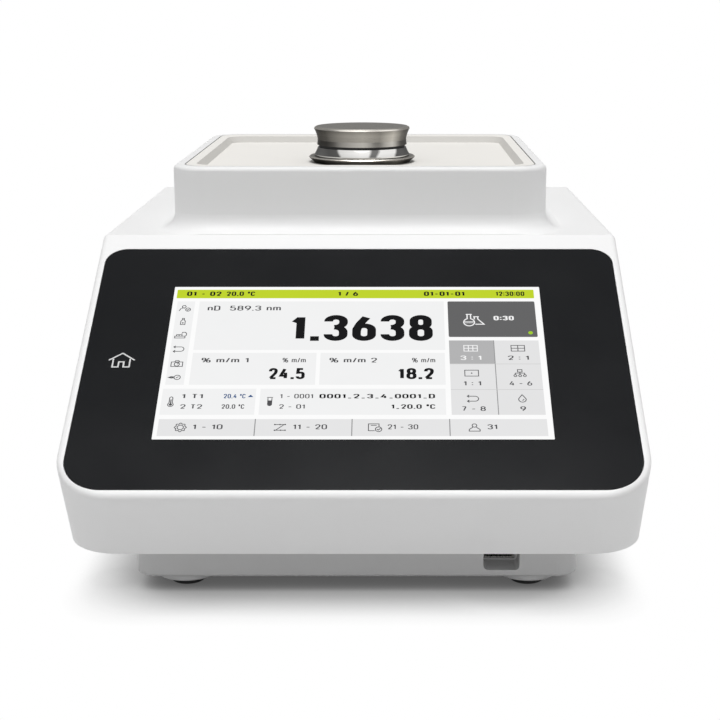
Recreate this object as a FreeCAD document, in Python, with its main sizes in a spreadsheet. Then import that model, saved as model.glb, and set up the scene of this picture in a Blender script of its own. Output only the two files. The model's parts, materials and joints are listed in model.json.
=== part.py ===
# Benchtop refractometer with a tilted touch display and a lidded sample cell.
# Millimetres; +X is the viewer's right, +Y points to the back, +Z is up.
# The origin is the middle of the footprint, on the bench.
import FreeCAD, Part

import math
import os
import re

import Sketcher

Vector = FreeCAD.Vector
doc = FreeCAD.newDocument("refractometer")

# Driving dimensions, one row each
SIZES = (
    # Housing form
    ("body_width", 226),
    ("panel_angle", 30.9),
    ("screen_edge_depth", 133.2),
    ("screen_edge_height", 70.7),
    ("fascia_margin", 28.9),
    ("fascia_length", 33.5),
    ("shoulder_height", 133.9),
    ("rear_depth", 157),
    ("front_corner_radius", 22),
    ("rear_corner_radius", 6),
    ("edge_rounding", 2.5),
    ("wall", 3),
    ("panel_wall", 5),
    # Raised tray on top of the housing
    ("tray_half_width", 84),
    ("tray_front_depth", 21.4),
    ("tray_top", 162.9),
    ("tray_corner_radius", 16),
    ("tray_foot_radius", 8),
    ("tray_edge_rounding", 2),
    ("tray_rim", 4.9),
    ("tray_rear_trim", 0.4),
    # Sample plate set into the tray
    ("plate_thickness", 6.1),
    ("plate_joint", 0.6),
    ("plate_side_rim", 4.5),
    ("plate_front_rim", 4.5),
    ("plate_rear_rim", 12),
    ("plate_recess", 3.1),
    ("plate_slope", 33),
    ("plate_recess_corner", 9),
    ("ledge_width", 3.1),
    ("ledge_thickness", 3),
    # Cover glass and display
    ("glass_width", 219),
    ("glass_below_screen", 25.4),
    ("glass_above_screen", 113.1),
    ("glass_thickness", 2),
    ("glass_low_corner", 15.5),
    ("glass_high_corner", 9),
    ("glass_clearance", 0.25),
    ("gasket_thickness", 0.5),
    ("screen_width", 154.2),
    ("screen_height", 88),
    ("screen_frame", 3),
    ("can_margin", 2),
    ("display_can_depth", 5.4),
    ("lcd_thickness", 1.6),
    ("window_clearance", 1),
    ("key_offset", 94.2),
    ("key_width", 20),
    ("key_height", 16),
    ("bracket_thickness", 1.5),
    ("bracket_margin", 12),
    ("board_thickness", 1.6),
    # Base under the housing
    ("base_half_width", 90),
    ("base_front_depth", 112),
    ("base_rear_setback", 12),
    ("base_bottom", 6.5),
    ("base_corner_radius", 9),
    ("flange_clearance", 0.3),
    ("flange_corner_radius", 24),
    ("boss_radius", 4.5),
    ("boss_height", 18),
    ("boss_front_inset", 16),
    ("boss_rear_inset", 29),
    ("recess_left", 51.4),
    ("recess_width", 14.7),
    ("recess_bottom", 9.4),
    ("recess_height", 9.6),
    ("recess_depth", 12),
    ("recess_corner", 2),
    ("vent_slots", 9),
    ("vent_pitch", 8),
    ("vent_width", 3),
    ("vent_length", 60),
    ("vent_middle", -40),
    # Feet
    ("foot_x", 70.3),
    ("foot_front_inset", 15),
    ("foot_rear_inset", 17),
    ("foot_radius", 13),
    ("pad_radius", 7),
    ("pad_height", 3.7),
    ("pad_seat", 1),
    ("stem_radius", 2),
    ("stem_length", 3),
    # Lid and sample dish
    ("cell_y", 36),
    ("dish_radius", 25.2),
    ("dish_neck", 22.6),
    ("dish_well", 18.3),
    ("dish_below_tray", 0.1),
    ("dish_drop", 9.8),
    ("dish_well_depth", 6.7),
    ("prism_window", 4.8),
    ("lid_gap", 0.3),
    ("lid_foot_radius", 22.6),
    ("lid_skirt_radius", 21.05),
    ("lid_skirt_height", 3.8),
    ("lid_groove_radius", 20.4),
    ("lid_groove_height", 1.2),
    ("lid_band_radius", 21.3),
    ("lid_waist_radius", 21.05),
    ("lid_top_radius", 22.75),
    ("lid_cap_height", 8.5),
    ("lid_top_rounding", 1),
    ("lid_plug_radius", 12),
    ("lid_plug_depth", 1.5),
    ("lid_skirt_curve", 12),
    ("lid_cap_curve", 14),
    ("lid_waist_rise", 2.3),
    ("lid_foot_thickness", 0.5),
    ("lid_plug_chamfer", 1),
    ("magnet_radius", 8),
    ("magnet_height", 3),
    # Measuring cell and optics
    ("block_half_width", 20),
    ("block_half_depth", 20),
    ("beam_angle", 60),
    ("beam_radius", 5.5),
    ("barrel_radius", 7.5),
    ("barrel_start", 29),
    ("lens_thickness", 3),
    ("condenser_reach", 36),
    ("objective_reach", 42),
    ("clamp_reach", 39),
    ("clamp_half_width", 4),
    ("clamp_half_depth", 10),
    ("clamp_rise", 4),
    ("light_reach", 52),
    ("camera_reach", 62),
    ("prism_half_width", 11),
    ("prism_half_depth", 7),
    ("prism_depth", 8),
    ("bench_height", 100),
    ("bench_thickness", 6),
    ("bench_half_width", 75),
    ("bench_half_depth", 24),
    ("post_radius", 4),
    ("post_x", 62),
    ("post_y", 18),
    ("peltier_size", 30),
    ("peltier_thickness", 4),
    ("sink_width", 60),
    ("sink_height", 52),
    ("sink_base", 4),
    ("fin_length", 36),
    ("fin_thickness", 1.2),
    ("fin_count", 11),
    # Rear panel and its fittings
    ("rear_panel_half_width", 84),
    ("rear_panel_bottom", 36),
    ("rear_panel_drop", 5.9),
    ("rear_panel_thickness", 2),
    ("rear_panel_recess", 2),
    ("rear_panel_ledge", 6),
    ("panel_screw_inset", 3),
    ("rear_frame_depth", 3.5),
    ("fan_x", 20),
    ("fan_margin", 1),
    ("fan_size", 60),
    ("fan_depth", 15),
    ("fan_bore", 28.5),
    ("fan_hub", 12),
    ("fan_tip_gap", 0.8),
    ("fan_web", 2),
    ("fan_screw_inset", 5),
    ("fan_blades", 7),
    ("blade_thickness", 1.4),
    ("blade_slant", 52),
    ("fan_shaft", 2),
    ("running_fit", 0.05),
    ("grille_pitch", 6),
    ("grille_slot", 3.2),
    ("grille_rows", 4),
    ("inlet_x", -58),
    ("inlet_pitch", 32),
    ("inlet_width", 30.7),
    ("inlet_tall", 24),
    ("inlet_depth", 26),
    ("inlet_lip", 1.8),
    ("inlet_wall", 3.5),
    ("inlet_cavity_tall", 14),
    ("inlet_chamfer", 4),
    ("switch_drop", 24),
    ("switch_width", 15),
    ("switch_tall", 21),
    ("switch_depth", 16),
    ("switch_wall", 1.2),
    ("switch_angle", 12),
    ("usb_below_fan", 1.4),
    ("io_left", -32),
    ("io_right", 64),
    ("io_depth", 36),
    ("ethernet_x", -22),
    ("usb_x", 4),
    ("serial_x", 40),
    ("socket_lip", 1.2),
    ("inlet_cavity_depth", 18),
    ("inlet_pin_spread", 7),
    ("inlet_pin_rise", 2),
    ("inlet_pin_width", 2),
    ("inlet_pin_tall", 4),
    ("switch_pin_depth", 4),
    ("pin_radius", 1),
    ("ethernet_width", 16),
    ("ethernet_tall", 13.4),
    ("ethernet_depth", 20),
    ("ethernet_mouth_width", 11.7),
    ("ethernet_mouth_tall", 8.3),
    ("ethernet_mouth_depth", 12),
    ("usb_stack_width", 14.5),
    ("usb_stack_tall", 15.6),
    ("usb_stack_depth", 17),
    ("usb_mouth_depth", 10),
    ("usb_pitch", 7.6),
    ("serial_width", 19),
    ("serial_tall", 11),
    ("serial_depth", 12),
    ("serial_ears", 12),
    # Front port
    ("port_left", 52.1),
    ("port_width", 12.5),
    ("port_tall", 5.1),
    ("port_bottom", 10.4),
    ("port_length", 14),
    ("port_shell", 0.4),
    ("port_tongue", 1.8),
    # Power supply and boards in the base
    ("board_height", 15.6),
    ("board_margin", 5),
    ("board_gap", 10),
    ("post_gap", 6),
    ("main_board_setback", 18),
    ("driver_board_width", 76),
    ("usb_board_margin", 4.1),
    ("usb_board_length", 38),
    ("standoff_inset", 6),
    ("spacer_radius", 3.25),
    ("supply_margin", 3),
    ("supply_gap", 4),
    ("supply_height", 34),
    # Fasteners
    ("screw_radius", 1.5),
    ("screw_head_radius", 2.8),
    ("screw_head_height", 1.8),
    ("screw_head_rounding", 0.5),
    ("screw_length", 10),
    ("panel_screw_length", 5),
)

sheet = doc.addObject("Spreadsheet::Sheet", "sizes")
OWNER = {}
for row, (alias, value) in enumerate(SIZES, start=1):
    sheet.set(f"A{row}", alias)
    sheet.set(f"B{row}", str(value))
    sheet.setAlias(f"B{row}", alias)
    OWNER[alias] = "sizes"
doc.recompute()

# Places worked out from the driving dimensions
places = doc.addObject("App::VarSet", "places")


def linked(text):
    """Return an expression whose names point at the sheet or at the places."""
    return re.sub(r"[a-z_]+", lambda hit: f"{OWNER[hit[0]]}.{hit[0]}" if hit[0] in OWNER else hit[0], text)


def place(alias, expression):
    """Name a derived place, so that later expressions can use it."""
    places.addProperty("App::PropertyFloat", alias)
    places.setExpression(alias, linked(expression))
    OWNER[alias] = "places"


def number(expression):
    """Work out an expression now, for choosing edges and first guesses."""
    return float(sheet.evalExpression(linked(str(expression))))


def bind(item, name, expression):
    item.setExpression(name, linked(str(expression)))


def locate(item, x="0", y="0", z="0"):
    """Bind an object's position to three expressions."""
    for axis, expression in zip("xyz", (x, y, z)):
        bind(item, f"Placement.Base.{axis}", expression)
    return item


def turn(item, axis, angle):
    """Turn an object about an axis through its own origin."""
    item.Placement = FreeCAD.Placement(Vector(), FreeCAD.Rotation(axis, number(angle)))
    bind(item, "Placement.Rotation.Angle", angle)
    return item


NODES = []


def node(item, name):
    """Mark an object as a piece of the assembly."""
    item.Label = name
    NODES.append(item)
    return item


# Primitives and booleans
def box(low, high, name="block"):
    """A box between two corners, each three expressions."""
    item = doc.addObject("Part::Box", name)
    for side, start, end in zip(("Length", "Width", "Height"), low, high):
        bind(item, side, f"({end}) - ({start})")
    return locate(item, *low)


def rod(radius, length, x="0", y="0", z="0", axis=None, angle="0", name="rod"):
    """A cylinder from a point, along +Z or turned about an axis."""
    item = doc.addObject("Part::Cylinder", name)
    bind(item, "Radius", radius)
    bind(item, "Height", length)
    if axis is not None:
        turn(item, axis, angle)
    return locate(item, x, y, z)


def fuse(items, name="joined"):
    item = doc.addObject("Part::MultiFuse", name)
    item.Shapes = items
    return item


def cut(base, tools, name="cut"):
    """Take one or more tools out of a base."""
    item = doc.addObject("Part::Cut", name)
    item.Base = base
    item.Tool = tools[0] if len(tools) == 1 else fuse(tools)
    return item


def group(items, name="set"):
    item = doc.addObject("Part::Compound", name)
    item.Links = items
    return item


# Sketched bodies
def new_body(name):
    return doc.addObject("PartDesign::Body", name)


def constrain(drawing, rule, expression):
    """Add a constraint whose value follows an expression."""
    index = drawing.addConstraint(rule)
    bind(drawing, f"Constraints[{index}]", expression)


def sketch(body, role, outline, arcs=None, offset="0"):
    """A closed outline of corners, each two expressions, on an origin plane.

    arcs maps a corner's index to the side and radius of the arc that leaves it:
    side 1 bulges to the right of the way to the next corner, side -1 to the left.
    """
    arcs = arcs or {}
    drawing = body.newObject("Sketcher::SketchObject", "outline")
    plane = [item for item in body.Origin.OriginFeatures if item.Role == role][0]
    drawing.AttachmentSupport = [(plane, "")]
    drawing.MapMode = "FlatFace"
    bind(drawing, "AttachmentOffset.Base.z", offset)
    corners = [Vector(number(x), number(y), 0) for x, y in outline]
    starts = []
    for index, start in enumerate(corners):
        end = corners[(index + 1) % len(corners)]
        if index not in arcs:
            starts.append((index, 1, 2))
            drawing.addGeometry(Part.LineSegment(start, end), False)
            continue
        sign, radius = arcs[index]
        chord = end - start
        reach = number(radius)
        right = Vector(chord.y, -chord.x, 0).normalize()
        sagitta = reach - math.sqrt(reach ** 2 - (chord.Length / 2) ** 2)
        middle = (start + end) * 0.5 + right * (sign * sagitta)
        ends = (start, end) if sign > 0 else (end, start)
        starts.append((index, 1, 2) if sign > 0 else (index, 2, 1))
        drawing.addGeometry(Part.Arc(ends[0], middle, ends[1]), False)
        constrain(drawing, Sketcher.Constraint("Radius", index, reach), radius)
    for index, (x, y) in enumerate(outline):
        edge, first, last = starts[index]
        following = starts[(index + 1) % len(starts)]
        drawing.addConstraint(Sketcher.Constraint("Coincident", edge, last, following[0], following[1]))
        for kind, expression in (("DistanceX", x), ("DistanceY", y)):
            rule = Sketcher.Constraint(kind, -1, 1, edge, first, number(expression))
            constrain(drawing, rule, expression)
    return drawing


def pad(body, drawing, length, middle=False):
    """Raise a sketch into a solid, up from its plane or both ways from it."""
    item = body.newObject("PartDesign::Pad", "pad")
    item.Profile = drawing
    item.Midplane = middle
    bind(item, "Length", length)
    return item


def pocket(body, drawing, length, middle=False, taper=None, reverse=False):
    """Cut a sketch out of the body, and check that something was removed."""
    doc.recompute()
    before = body.Shape.Volume
    item = body.newObject("PartDesign::Pocket", "pocket")
    item.Profile = drawing
    item.Midplane = middle
    item.Reversed = reverse
    bind(item, "Length", length)
    if taper is not None:
        bind(item, "TaperAngle", taper)
    doc.recompute()
    if body.Shape.Volume > before - 1:
        raise ValueError(f"{body.Name}: a pocket cuts nothing")
    return item


def turned(name, outline, x="0", y="0", z="0", arcs=None):
    """A piece turned about a vertical axis, from corners of radius and height."""
    body = new_body(name)
    drawing = sketch(body, "XZ_Plane", outline, arcs)
    revolution = body.newObject("PartDesign::Revolution", "revolution")
    revolution.Profile = drawing
    revolution.ReferenceAxis = (drawing, ["V_Axis"])
    revolution.Angle = 360
    return locate(body, x, y, z)


def round_edges(body, radius, chosen):
    """Fillet the edges of the body's tip that a test picks out."""
    doc.recompute()
    base = body.Tip
    names = [f"Edge{i}" for i, edge in enumerate(base.Shape.Edges, start=1) if chosen(edge)]
    if not names:
        raise ValueError(f"{body.Name}: no edge to round")
    item = body.newObject("PartDesign::Fillet", "fillet")
    item.Base = (base, names)
    bind(item, "Radius", radius)
    doc.recompute()
    if not item.isValid():
        raise ValueError(f"{body.Name}: rounding {len(names)} edges by {radius} failed")
    return item


def near(value, expression, slack=0.01):
    return abs(value - number(expression)) < slack


def runs(edge, direction):
    """Whether an edge is straight and parallel to a direction."""
    if edge.Curve.TypeId != "Part::GeomLine":
        return False
    return edge.Curve.Direction.cross(Vector(*direction)).Length < 1e-4


def upright(edge):
    return runs(edge, (0, 0, 1))


def corners(left, right, front, back):
    """The four corners of a rectangle."""
    return [(left, front), (right, front), (right, back), (left, back)]


def rounded(left, right, front, back, radius):
    """A rectangle with round corners, as an outline and its arcs."""
    outline = [(f"{left} + {radius}", front), (f"{right} - {radius}", front), (right, f"{front} + {radius}"),
               (right, f"{back} - {radius}"), (f"{right} - {radius}", back), (f"{left} + {radius}", back),
               (left, f"{back} - {radius}"), (left, f"{front} + {radius}")]
    return outline, {index: (1, radius) for index in (1, 3, 5, 7)}


def slab(name, left, right, front, back, bottom, top, radius=None):
    """A flat plate with rounded plan corners."""
    body = new_body(name)
    pad(body, sketch(body, "XY_Plane", corners(left, right, front, back), offset=bottom),
        f"({top}) - ({bottom})")
    if radius is not None:
        round_edges(body, radius, upright)
    return body


# Panel frame: x as usual, y up the panel from the screen's lower edge, z out of the panel
X_AXIS = Vector(1, 0, 0)
Y_AXIS = Vector(0, 1, 0)


def on_panel(item):
    """Lay a flat piece, drawn on XY, on the tilted panel."""
    turn(item, X_AXIS, "panel_angle")
    return locate(item, y="-screen_edge_depth", z="screen_edge_height")


def panel_slab(name, half_width, low, high, back, front, radius=None):
    return on_panel(slab(name, f"-({half_width})", half_width, low, high, back, front, radius))


def panel_point(along, out):
    """World y and z of a point on the panel's middle line."""
    depth = f"-screen_edge_depth + ({along}) * cos(panel_angle) - ({out}) * sin(panel_angle)"
    height = f"screen_edge_height + ({along}) * sin(panel_angle) + ({out}) * cos(panel_angle)"
    return depth, height


def panel_out_at(height, along):
    """How far out of the panel a fascia line reaches a height."""
    return f"(({height}) - screen_edge_height - ({along}) * sin(panel_angle)) / cos(panel_angle)"


def panel_along_at(height, out):
    """How far up the panel a line parallel to it reaches a height."""
    return f"(({height}) - screen_edge_height - ({out}) * cos(panel_angle)) / sin(panel_angle)"


# Places used by more than one piece
place("half_width", "body_width / 2")
place("housing_bottom",
      "screen_edge_height - fascia_margin * sin(panel_angle) - fascia_length * cos(panel_angle)")
place("crease_y", "-screen_edge_depth + (shoulder_height - screen_edge_height) / tan(panel_angle)")
place("inner_half_width", "half_width - wall")
place("inner_rear", "rear_depth - wall")
place("inner_top", "shoulder_height - wall")
place("flange_top", "housing_bottom + wall")
place("base_floor", "base_bottom + wall")
place("plate_bottom", "tray_top - plate_thickness")
place("plate_floor", "tray_top - plate_recess")
place("opening_half_width", "tray_half_width - tray_rim")
place("opening_front", "-tray_front_depth + tray_rim")
place("opening_rear", "rear_depth - tray_rim")
place("opening_corner", "tray_corner_radius - tray_rim")
place("glass_low", "-glass_below_screen")
place("gasket_back", "-glass_thickness - gasket_thickness")
place("can_half_width", "screen_width / 2 + screen_frame + can_margin")
place("can_low", "-screen_frame - can_margin")
place("can_high", "screen_height + screen_frame + can_margin")
place("window_half_width", "can_half_width + window_clearance")
place("window_low", "can_low - window_clearance")
place("window_high", "can_high + window_clearance")
place("can_back", "-glass_thickness - lcd_thickness - display_can_depth")
place("bracket_back", "can_back - bracket_thickness")
place("dish_top", "tray_top - dish_below_tray")
place("dish_floor_height", "dish_top - dish_well_depth")
place("lid_foot", "dish_top + lid_gap")
place("lid_joint", "lid_foot + lid_skirt_height")
place("lid_band_foot", "lid_joint + lid_groove_height")
place("lid_top", "lid_band_foot + lid_cap_height")
place("dish_foot", "dish_top - dish_drop")
place("bench_top", "bench_height + bench_thickness")
place("block_rear", "cell_y + block_half_depth")
place("rear_panel_front", "rear_depth - rear_panel_recess - rear_panel_thickness")
place("rear_panel_back", "rear_depth - rear_panel_recess")
place("rear_opening_half_width", "rear_panel_half_width - rear_panel_ledge")
place("rear_panel_top", "shoulder_height - rear_panel_drop")
place("rear_opening_bottom", "rear_panel_bottom + rear_panel_ledge")
place("rear_opening_top", "rear_panel_top - rear_panel_ledge")
place("fan_height", "rear_opening_top - fan_margin - fan_size / 2")
place("rotor_back", "rear_panel_front - fan_web - 0.5")
place("rotor_depth", "fan_depth - fan_web - 1.5")
place("blade_depth", "rotor_depth - 1")
place("switch_height", "rear_opening_top - switch_drop")
place("switch_pin_y", "rear_panel_back - switch_pin_depth")
place("inlet_height", "switch_height - inlet_pitch")
place("base_rear_depth", "rear_depth - base_rear_setback")
place("foot_front_y", "base_front_depth - foot_front_inset")
place("foot_rear_y", "base_rear_depth - foot_rear_inset")
place("recess_back", "-base_front_depth + recess_depth")
place("boss_x", "(base_half_width + inner_half_width) / 2")
place("boss_front_y", "base_front_depth - boss_front_inset")
place("boss_rear_y", "rear_depth - boss_rear_inset")
place("port_back", "recess_back + port_length")
place("io_board_height", "fan_height - fan_size / 2 - usb_below_fan - usb_stack_tall - board_thickness")
place("io_front", "rear_panel_back - io_depth")
place("main_left", "wall + board_margin - base_half_width")
place("main_right", "port_left - usb_board_margin - board_gap")
place("main_front", "-base_front_depth + main_board_setback")
place("main_back", "cell_y - post_y - post_radius - post_gap")
place("driver_right", "-main_left")
place("driver_left", "driver_right - driver_board_width")
place("driver_front", "cell_y + post_y + post_radius + post_gap")
place("driver_back", "io_front - board_margin")
place("board_top", "board_height + board_thickness")
place("supply_left", "wall + supply_margin - base_half_width")
place("supply_right", "io_left - supply_gap")
place("supply_front", "driver_front + 1")
place("supply_rear", "base_rear_depth - wall - supply_margin")
place("ethernet_middle", "io_board_height + board_thickness + ethernet_tall / 2")
place("usb_middle", "io_board_height + board_thickness + usb_stack_tall / 2")
place("serial_middle", "io_board_height + board_thickness + serial_tall / 2 + 1")
doc.recompute()


# Upper housing: one moulding with the panel, the shoulder and the tray's surround
def housing_form():
    body = new_body("housing_form")
    low = panel_point("-fascia_margin", "-fascia_length")
    nose = panel_point("-fascia_margin", "0")
    behind = "rear_depth + 3 * tray_foot_radius"
    side = [low, nose, (nose[0], "shoulder_height"), (behind, "shoulder_height"), (behind, "housing_bottom")]
    pad(body, sketch(body, "YZ_Plane", side), "body_width", middle=True)
    rear_line = "rear_depth + tray_rear_trim"
    block = corners("-tray_half_width", "tray_half_width", "-tray_front_depth", rear_line)
    pad(body, sketch(body, "XY_Plane", block, offset="shoulder_height"), "tray_top - shoulder_height")
    round_edges(body, "tray_corner_radius",
                lambda edge: upright(edge) and near(edge.BoundBox.ZMax, "tray_top"))
    round_edges(body, "tray_foot_radius", at_tray_foot)
    above = [nose, ("crease_y", "shoulder_height"), ("crease_y", "2 * tray_top"),
             ("-2 * rear_depth", "2 * tray_top"),
             ("-2 * rear_depth", nose[1])]
    pocket(body, sketch(body, "YZ_Plane", above), "2 * body_width", middle=True)
    rear = corners("rear_depth", "2 * rear_depth", "0", "2 * tray_top")
    pocket(body, sketch(body, "YZ_Plane", rear), "2 * body_width", middle=True)
    slope = (0, -math.sin(math.radians(number("panel_angle"))), math.cos(math.radians(number("panel_angle"))))
    round_edges(body, "front_corner_radius", lambda edge: runs(edge, slope))
    round_edges(body, "edge_rounding", at_panel_rim)
    round_edges(body, "rear_corner_radius", at_rear_corner)
    round_edges(body, "tray_edge_rounding", lambda edge: near(edge.BoundBox.ZMin, "tray_top"))
    return body


def at_tray_foot(edge):
    """The block's foot on the shoulder."""
    span = edge.BoundBox
    return (near(span.ZMin, "shoulder_height") and near(span.ZMax, "shoulder_height")
            and span.XMax < number("tray_half_width") + 1 and span.XMin > -number("tray_half_width") - 1
            and span.YMin > number("-tray_front_depth") - 1)


def at_rear_corner(edge):
    span = edge.BoundBox
    return upright(edge) and near(abs(span.XMax), "half_width") and near(span.YMin, "rear_depth")


def at_panel_rim(edge):
    """The rim of the panel and the shoulder, front and sides."""
    span = edge.BoundBox
    side = near(abs(span.XMax), "half_width") and near(abs(span.XMin), "half_width")
    level = near(span.ZMin, "shoulder_height") and near(span.ZMax, "shoulder_height")
    tilted = side and runs(edge, (0, math.cos(math.radians(number("panel_angle"))),
                                  math.sin(math.radians(number("panel_angle")))))
    nose = number(panel_point("-fascia_margin", "0")[1])
    front = span.YMax < number("-screen_edge_depth") + 5 and abs(span.ZMin - nose) < 0.5
    return (side and level) or tilted or front


def housing_core():
    """The hollow inside the housing, open below."""
    body = new_body("housing_core")
    along = "(wall - fascia_margin)"
    out = "(-panel_wall)"
    low = "housing_bottom - 1"
    side = [panel_point(along, panel_out_at(low, along)), panel_point(along, out),
            panel_point(panel_along_at("inner_top", out), out), ("inner_rear", "inner_top"),
            ("inner_rear", low)]
    pad(body, sketch(body, "YZ_Plane", side), "2 * inner_half_width", middle=True)
    slope = (0, -math.sin(math.radians(number("panel_angle"))), math.cos(math.radians(number("panel_angle"))))
    round_edges(body, "front_corner_radius - wall", lambda edge: runs(edge, slope))
    return body


def screw_boss(x_sign, y):
    """A screw boss with a rib that ties it to the side wall."""
    x = f"{x_sign} * boss_x"
    post = rod("boss_radius", "boss_height", x, y, "flange_top")
    wall_x = f"{x_sign} * (inner_half_width + wall / 2)"
    inner, outer = (x, wall_x) if x_sign > 0 else (wall_x, x)
    rib = box((inner, f"({y}) - wall / 2", "flange_top"),
              (outer, f"({y}) + wall / 2", "flange_top + boss_height"))
    return [post, rib]


BOSS_PLACES = [(side, y) for side in (-1, 1) for y in ("-boss_front_y", "0", "boss_rear_y")]


def upper_housing():
    tray_inside = slab("tray_inside", "wall - tray_half_width", "tray_half_width - wall",
                       "wall - tray_front_depth",
                       "inner_rear", "inner_top - 1", "plate_bottom - ledge_thickness",
                       "tray_corner_radius - wall")
    ledge = "ledge_width"
    ledge_hole = slab("ledge_hole", f"{ledge} - opening_half_width", f"opening_half_width - {ledge}",
                      f"opening_front + {ledge}", f"opening_rear - {ledge}",
                      "plate_bottom - ledge_thickness - 1",
                      "plate_bottom + 1", "opening_corner - ledge_width")
    opening = slab("tray_opening", "-opening_half_width", "opening_half_width", "opening_front",
                   "opening_rear",
                   "plate_bottom", "tray_top + 1", "opening_corner")
    shell = cut(housing_form(), [housing_core(), tray_inside, ledge_hole, opening], "housing_shell")
    frame = box(("-rear_panel_half_width - 4", "inner_rear - rear_frame_depth", "rear_panel_bottom - 4"),
                ("rear_panel_half_width + 4", "inner_rear + 1", "inner_top + 1"))
    additions = [shell, frame]
    for side, y in BOSS_PLACES:
        additions += screw_boss(side, y)
    margin = "glass_clearance"
    glass_pocket = panel_slab("glass_pocket", f"glass_width / 2 + {margin}", f"glass_low - {margin}",
                              f"glass_above_screen + {margin}", "gasket_back", "glass_thickness", None)
    round_glass(glass_pocket, margin)
    window = panel_slab("display_window", "window_half_width", "window_low", "window_high", "-2 * panel_wall",
                        "0")
    key_window = on_panel(slab("key_window", "-key_offset - key_width / 2", "-key_offset + key_width / 2",
                               "screen_height / 2 - key_height / 2", "screen_height / 2 + key_height / 2",
                               "-2 * panel_wall", "0"))
    rear_recess = box(("-rear_panel_half_width - flange_clearance", "rear_panel_front",
                       "rear_panel_bottom - flange_clearance"),
                      ("rear_panel_half_width + flange_clearance", "2 * rear_depth",
                       "rear_panel_top + flange_clearance"))
    rear_opening = box(("-rear_opening_half_width", "inner_rear - 2 * rear_frame_depth",
                        "rear_opening_bottom"),
                       ("rear_opening_half_width", "2 * rear_depth", "rear_opening_top"))
    holes = [rod("screw_radius", "screw_length", f"{side} * boss_x", y, "flange_top")
             for side, y in BOSS_PLACES]
    tools = [glass_pocket, window, key_window, rear_recess, rear_opening] + holes + panel_screw_holes()
    return node(cut(fuse(additions), tools), "upper_housing")


def round_glass(body, margin="0"):
    """Round the cover glass's outline: large low corners, smaller high ones."""
    def low_corner(edge):
        return upright(edge) and edge.BoundBox.YMax < 0

    def high_corner(edge):
        return upright(edge) and near(edge.BoundBox.YMax, f"glass_above_screen + {margin}")

    body_placement = body.Placement
    round_edges(body, f"glass_low_corner + {margin}", low_corner)
    round_edges(body, f"glass_high_corner + {margin}", high_corner)
    body.Placement = body_placement


# Cover glass and display, laid on the panel
def cover_glass():
    body = panel_slab("glass_sheet", "glass_width / 2", "glass_low", "glass_above_screen", "-glass_thickness",
                      "0")
    round_glass(body)
    return node(body, "cover_glass")


def glass_gasket():
    outer = panel_slab("gasket_outline", "glass_width / 2 - 1", "glass_low + 1", "glass_above_screen - 1",
                       "gasket_back", "-glass_thickness", "glass_high_corner")
    hole = panel_slab("gasket_hole", "window_half_width + 2", "window_low - 2", "window_high + 2",
                      "2 * gasket_back",
                      "0")
    key_hole = on_panel(slab("gasket_key_hole", "-key_offset - key_width / 2 - 1",
                             "-key_offset + key_width / 2 + 1",
                             "screen_height / 2 - key_height / 2 - 1",
                             "screen_height / 2 + key_height / 2 + 1",
                             "2 * gasket_back", "0"))
    return node(cut(outer, [low_corner_cut(), hole, key_hole]), "glass_gasket")


def low_corner_cut():
    """What a large low corner takes off a gasket with small corners."""
    frame = panel_slab("corner_stock", "glass_width", "-glass_above_screen", "glass_low + glass_low_corner",
                       "2 * gasket_back", "0")
    keep = panel_slab("corner_keep", "glass_width / 2 - 1", "glass_low + 1", "screen_height",
                      "3 * gasket_back", "1",
                      "glass_low_corner")
    return cut(frame, [keep])


def lcd_panel():
    sheet_front = "-glass_thickness"
    return node(panel_slab("lcd_sheet", "screen_width / 2 + screen_frame", "-screen_frame",
                           "screen_height + screen_frame", "-glass_thickness - lcd_thickness", sheet_front),
                "lcd_panel")


def display_can():
    """The backlight's metal can behind the panel."""
    return node(panel_slab("can_block", "can_half_width", "can_low", "can_high", "can_back",
                           "-glass_thickness - lcd_thickness", "can_margin"), "display_can")


def display_bracket():
    """The sheet that holds the display against the housing, with its four spacers."""
    plate = panel_slab("bracket_plate", "window_half_width + bracket_margin",
                       "window_low - bracket_margin / 2",
                       "window_high + bracket_margin / 2", "bracket_back", "can_back", "4")
    hole = panel_slab("bracket_hole", "screen_width / 3", "screen_height / 4", "3 * screen_height / 4",
                      "2 * bracket_back", "0", "4")
    across = "(window_half_width + bracket_margin / 2)"
    posts = fuse([rod("boss_radius", "-panel_wall - can_back", f"{side} * {across}", along, "can_back")
                  for side in (-1, 1) for along in ("window_low", "window_high")])
    on_panel(posts)
    return node(cut(fuse([plate, posts]), [hole]), "display_bracket")


def display_board():
    return node(panel_slab("display_card", "screen_width / 2.6", "screen_height / 9", "8 * screen_height / 9",
                           "bracket_back - board_thickness", "bracket_back"), "display_board")


def key_board():
    """The touch key's sensor board, stuck behind the glass."""
    gap = "glass_clearance"
    board = slab("key_card", f"-key_offset - key_width / 2 + {gap}", f"-key_offset + key_width / 2 - {gap}",
                 f"(screen_height - key_height) / 2 + {gap}", f"(screen_height + key_height) / 2 - {gap}",
                 "-glass_thickness - board_thickness", "-glass_thickness")
    return node(on_panel(board), "touch_key_board")


# Base: a flange that closes the housing and a plinth with a well, standing on the feet
FOOT_PLACES = (
    ("front_left", "-foot_x", "-foot_front_y"),
    ("front_right", "foot_x", "-foot_front_y"),
    ("rear_left", "-foot_x", "foot_rear_y"),
    ("rear_right", "foot_x", "foot_rear_y"),
)


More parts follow.
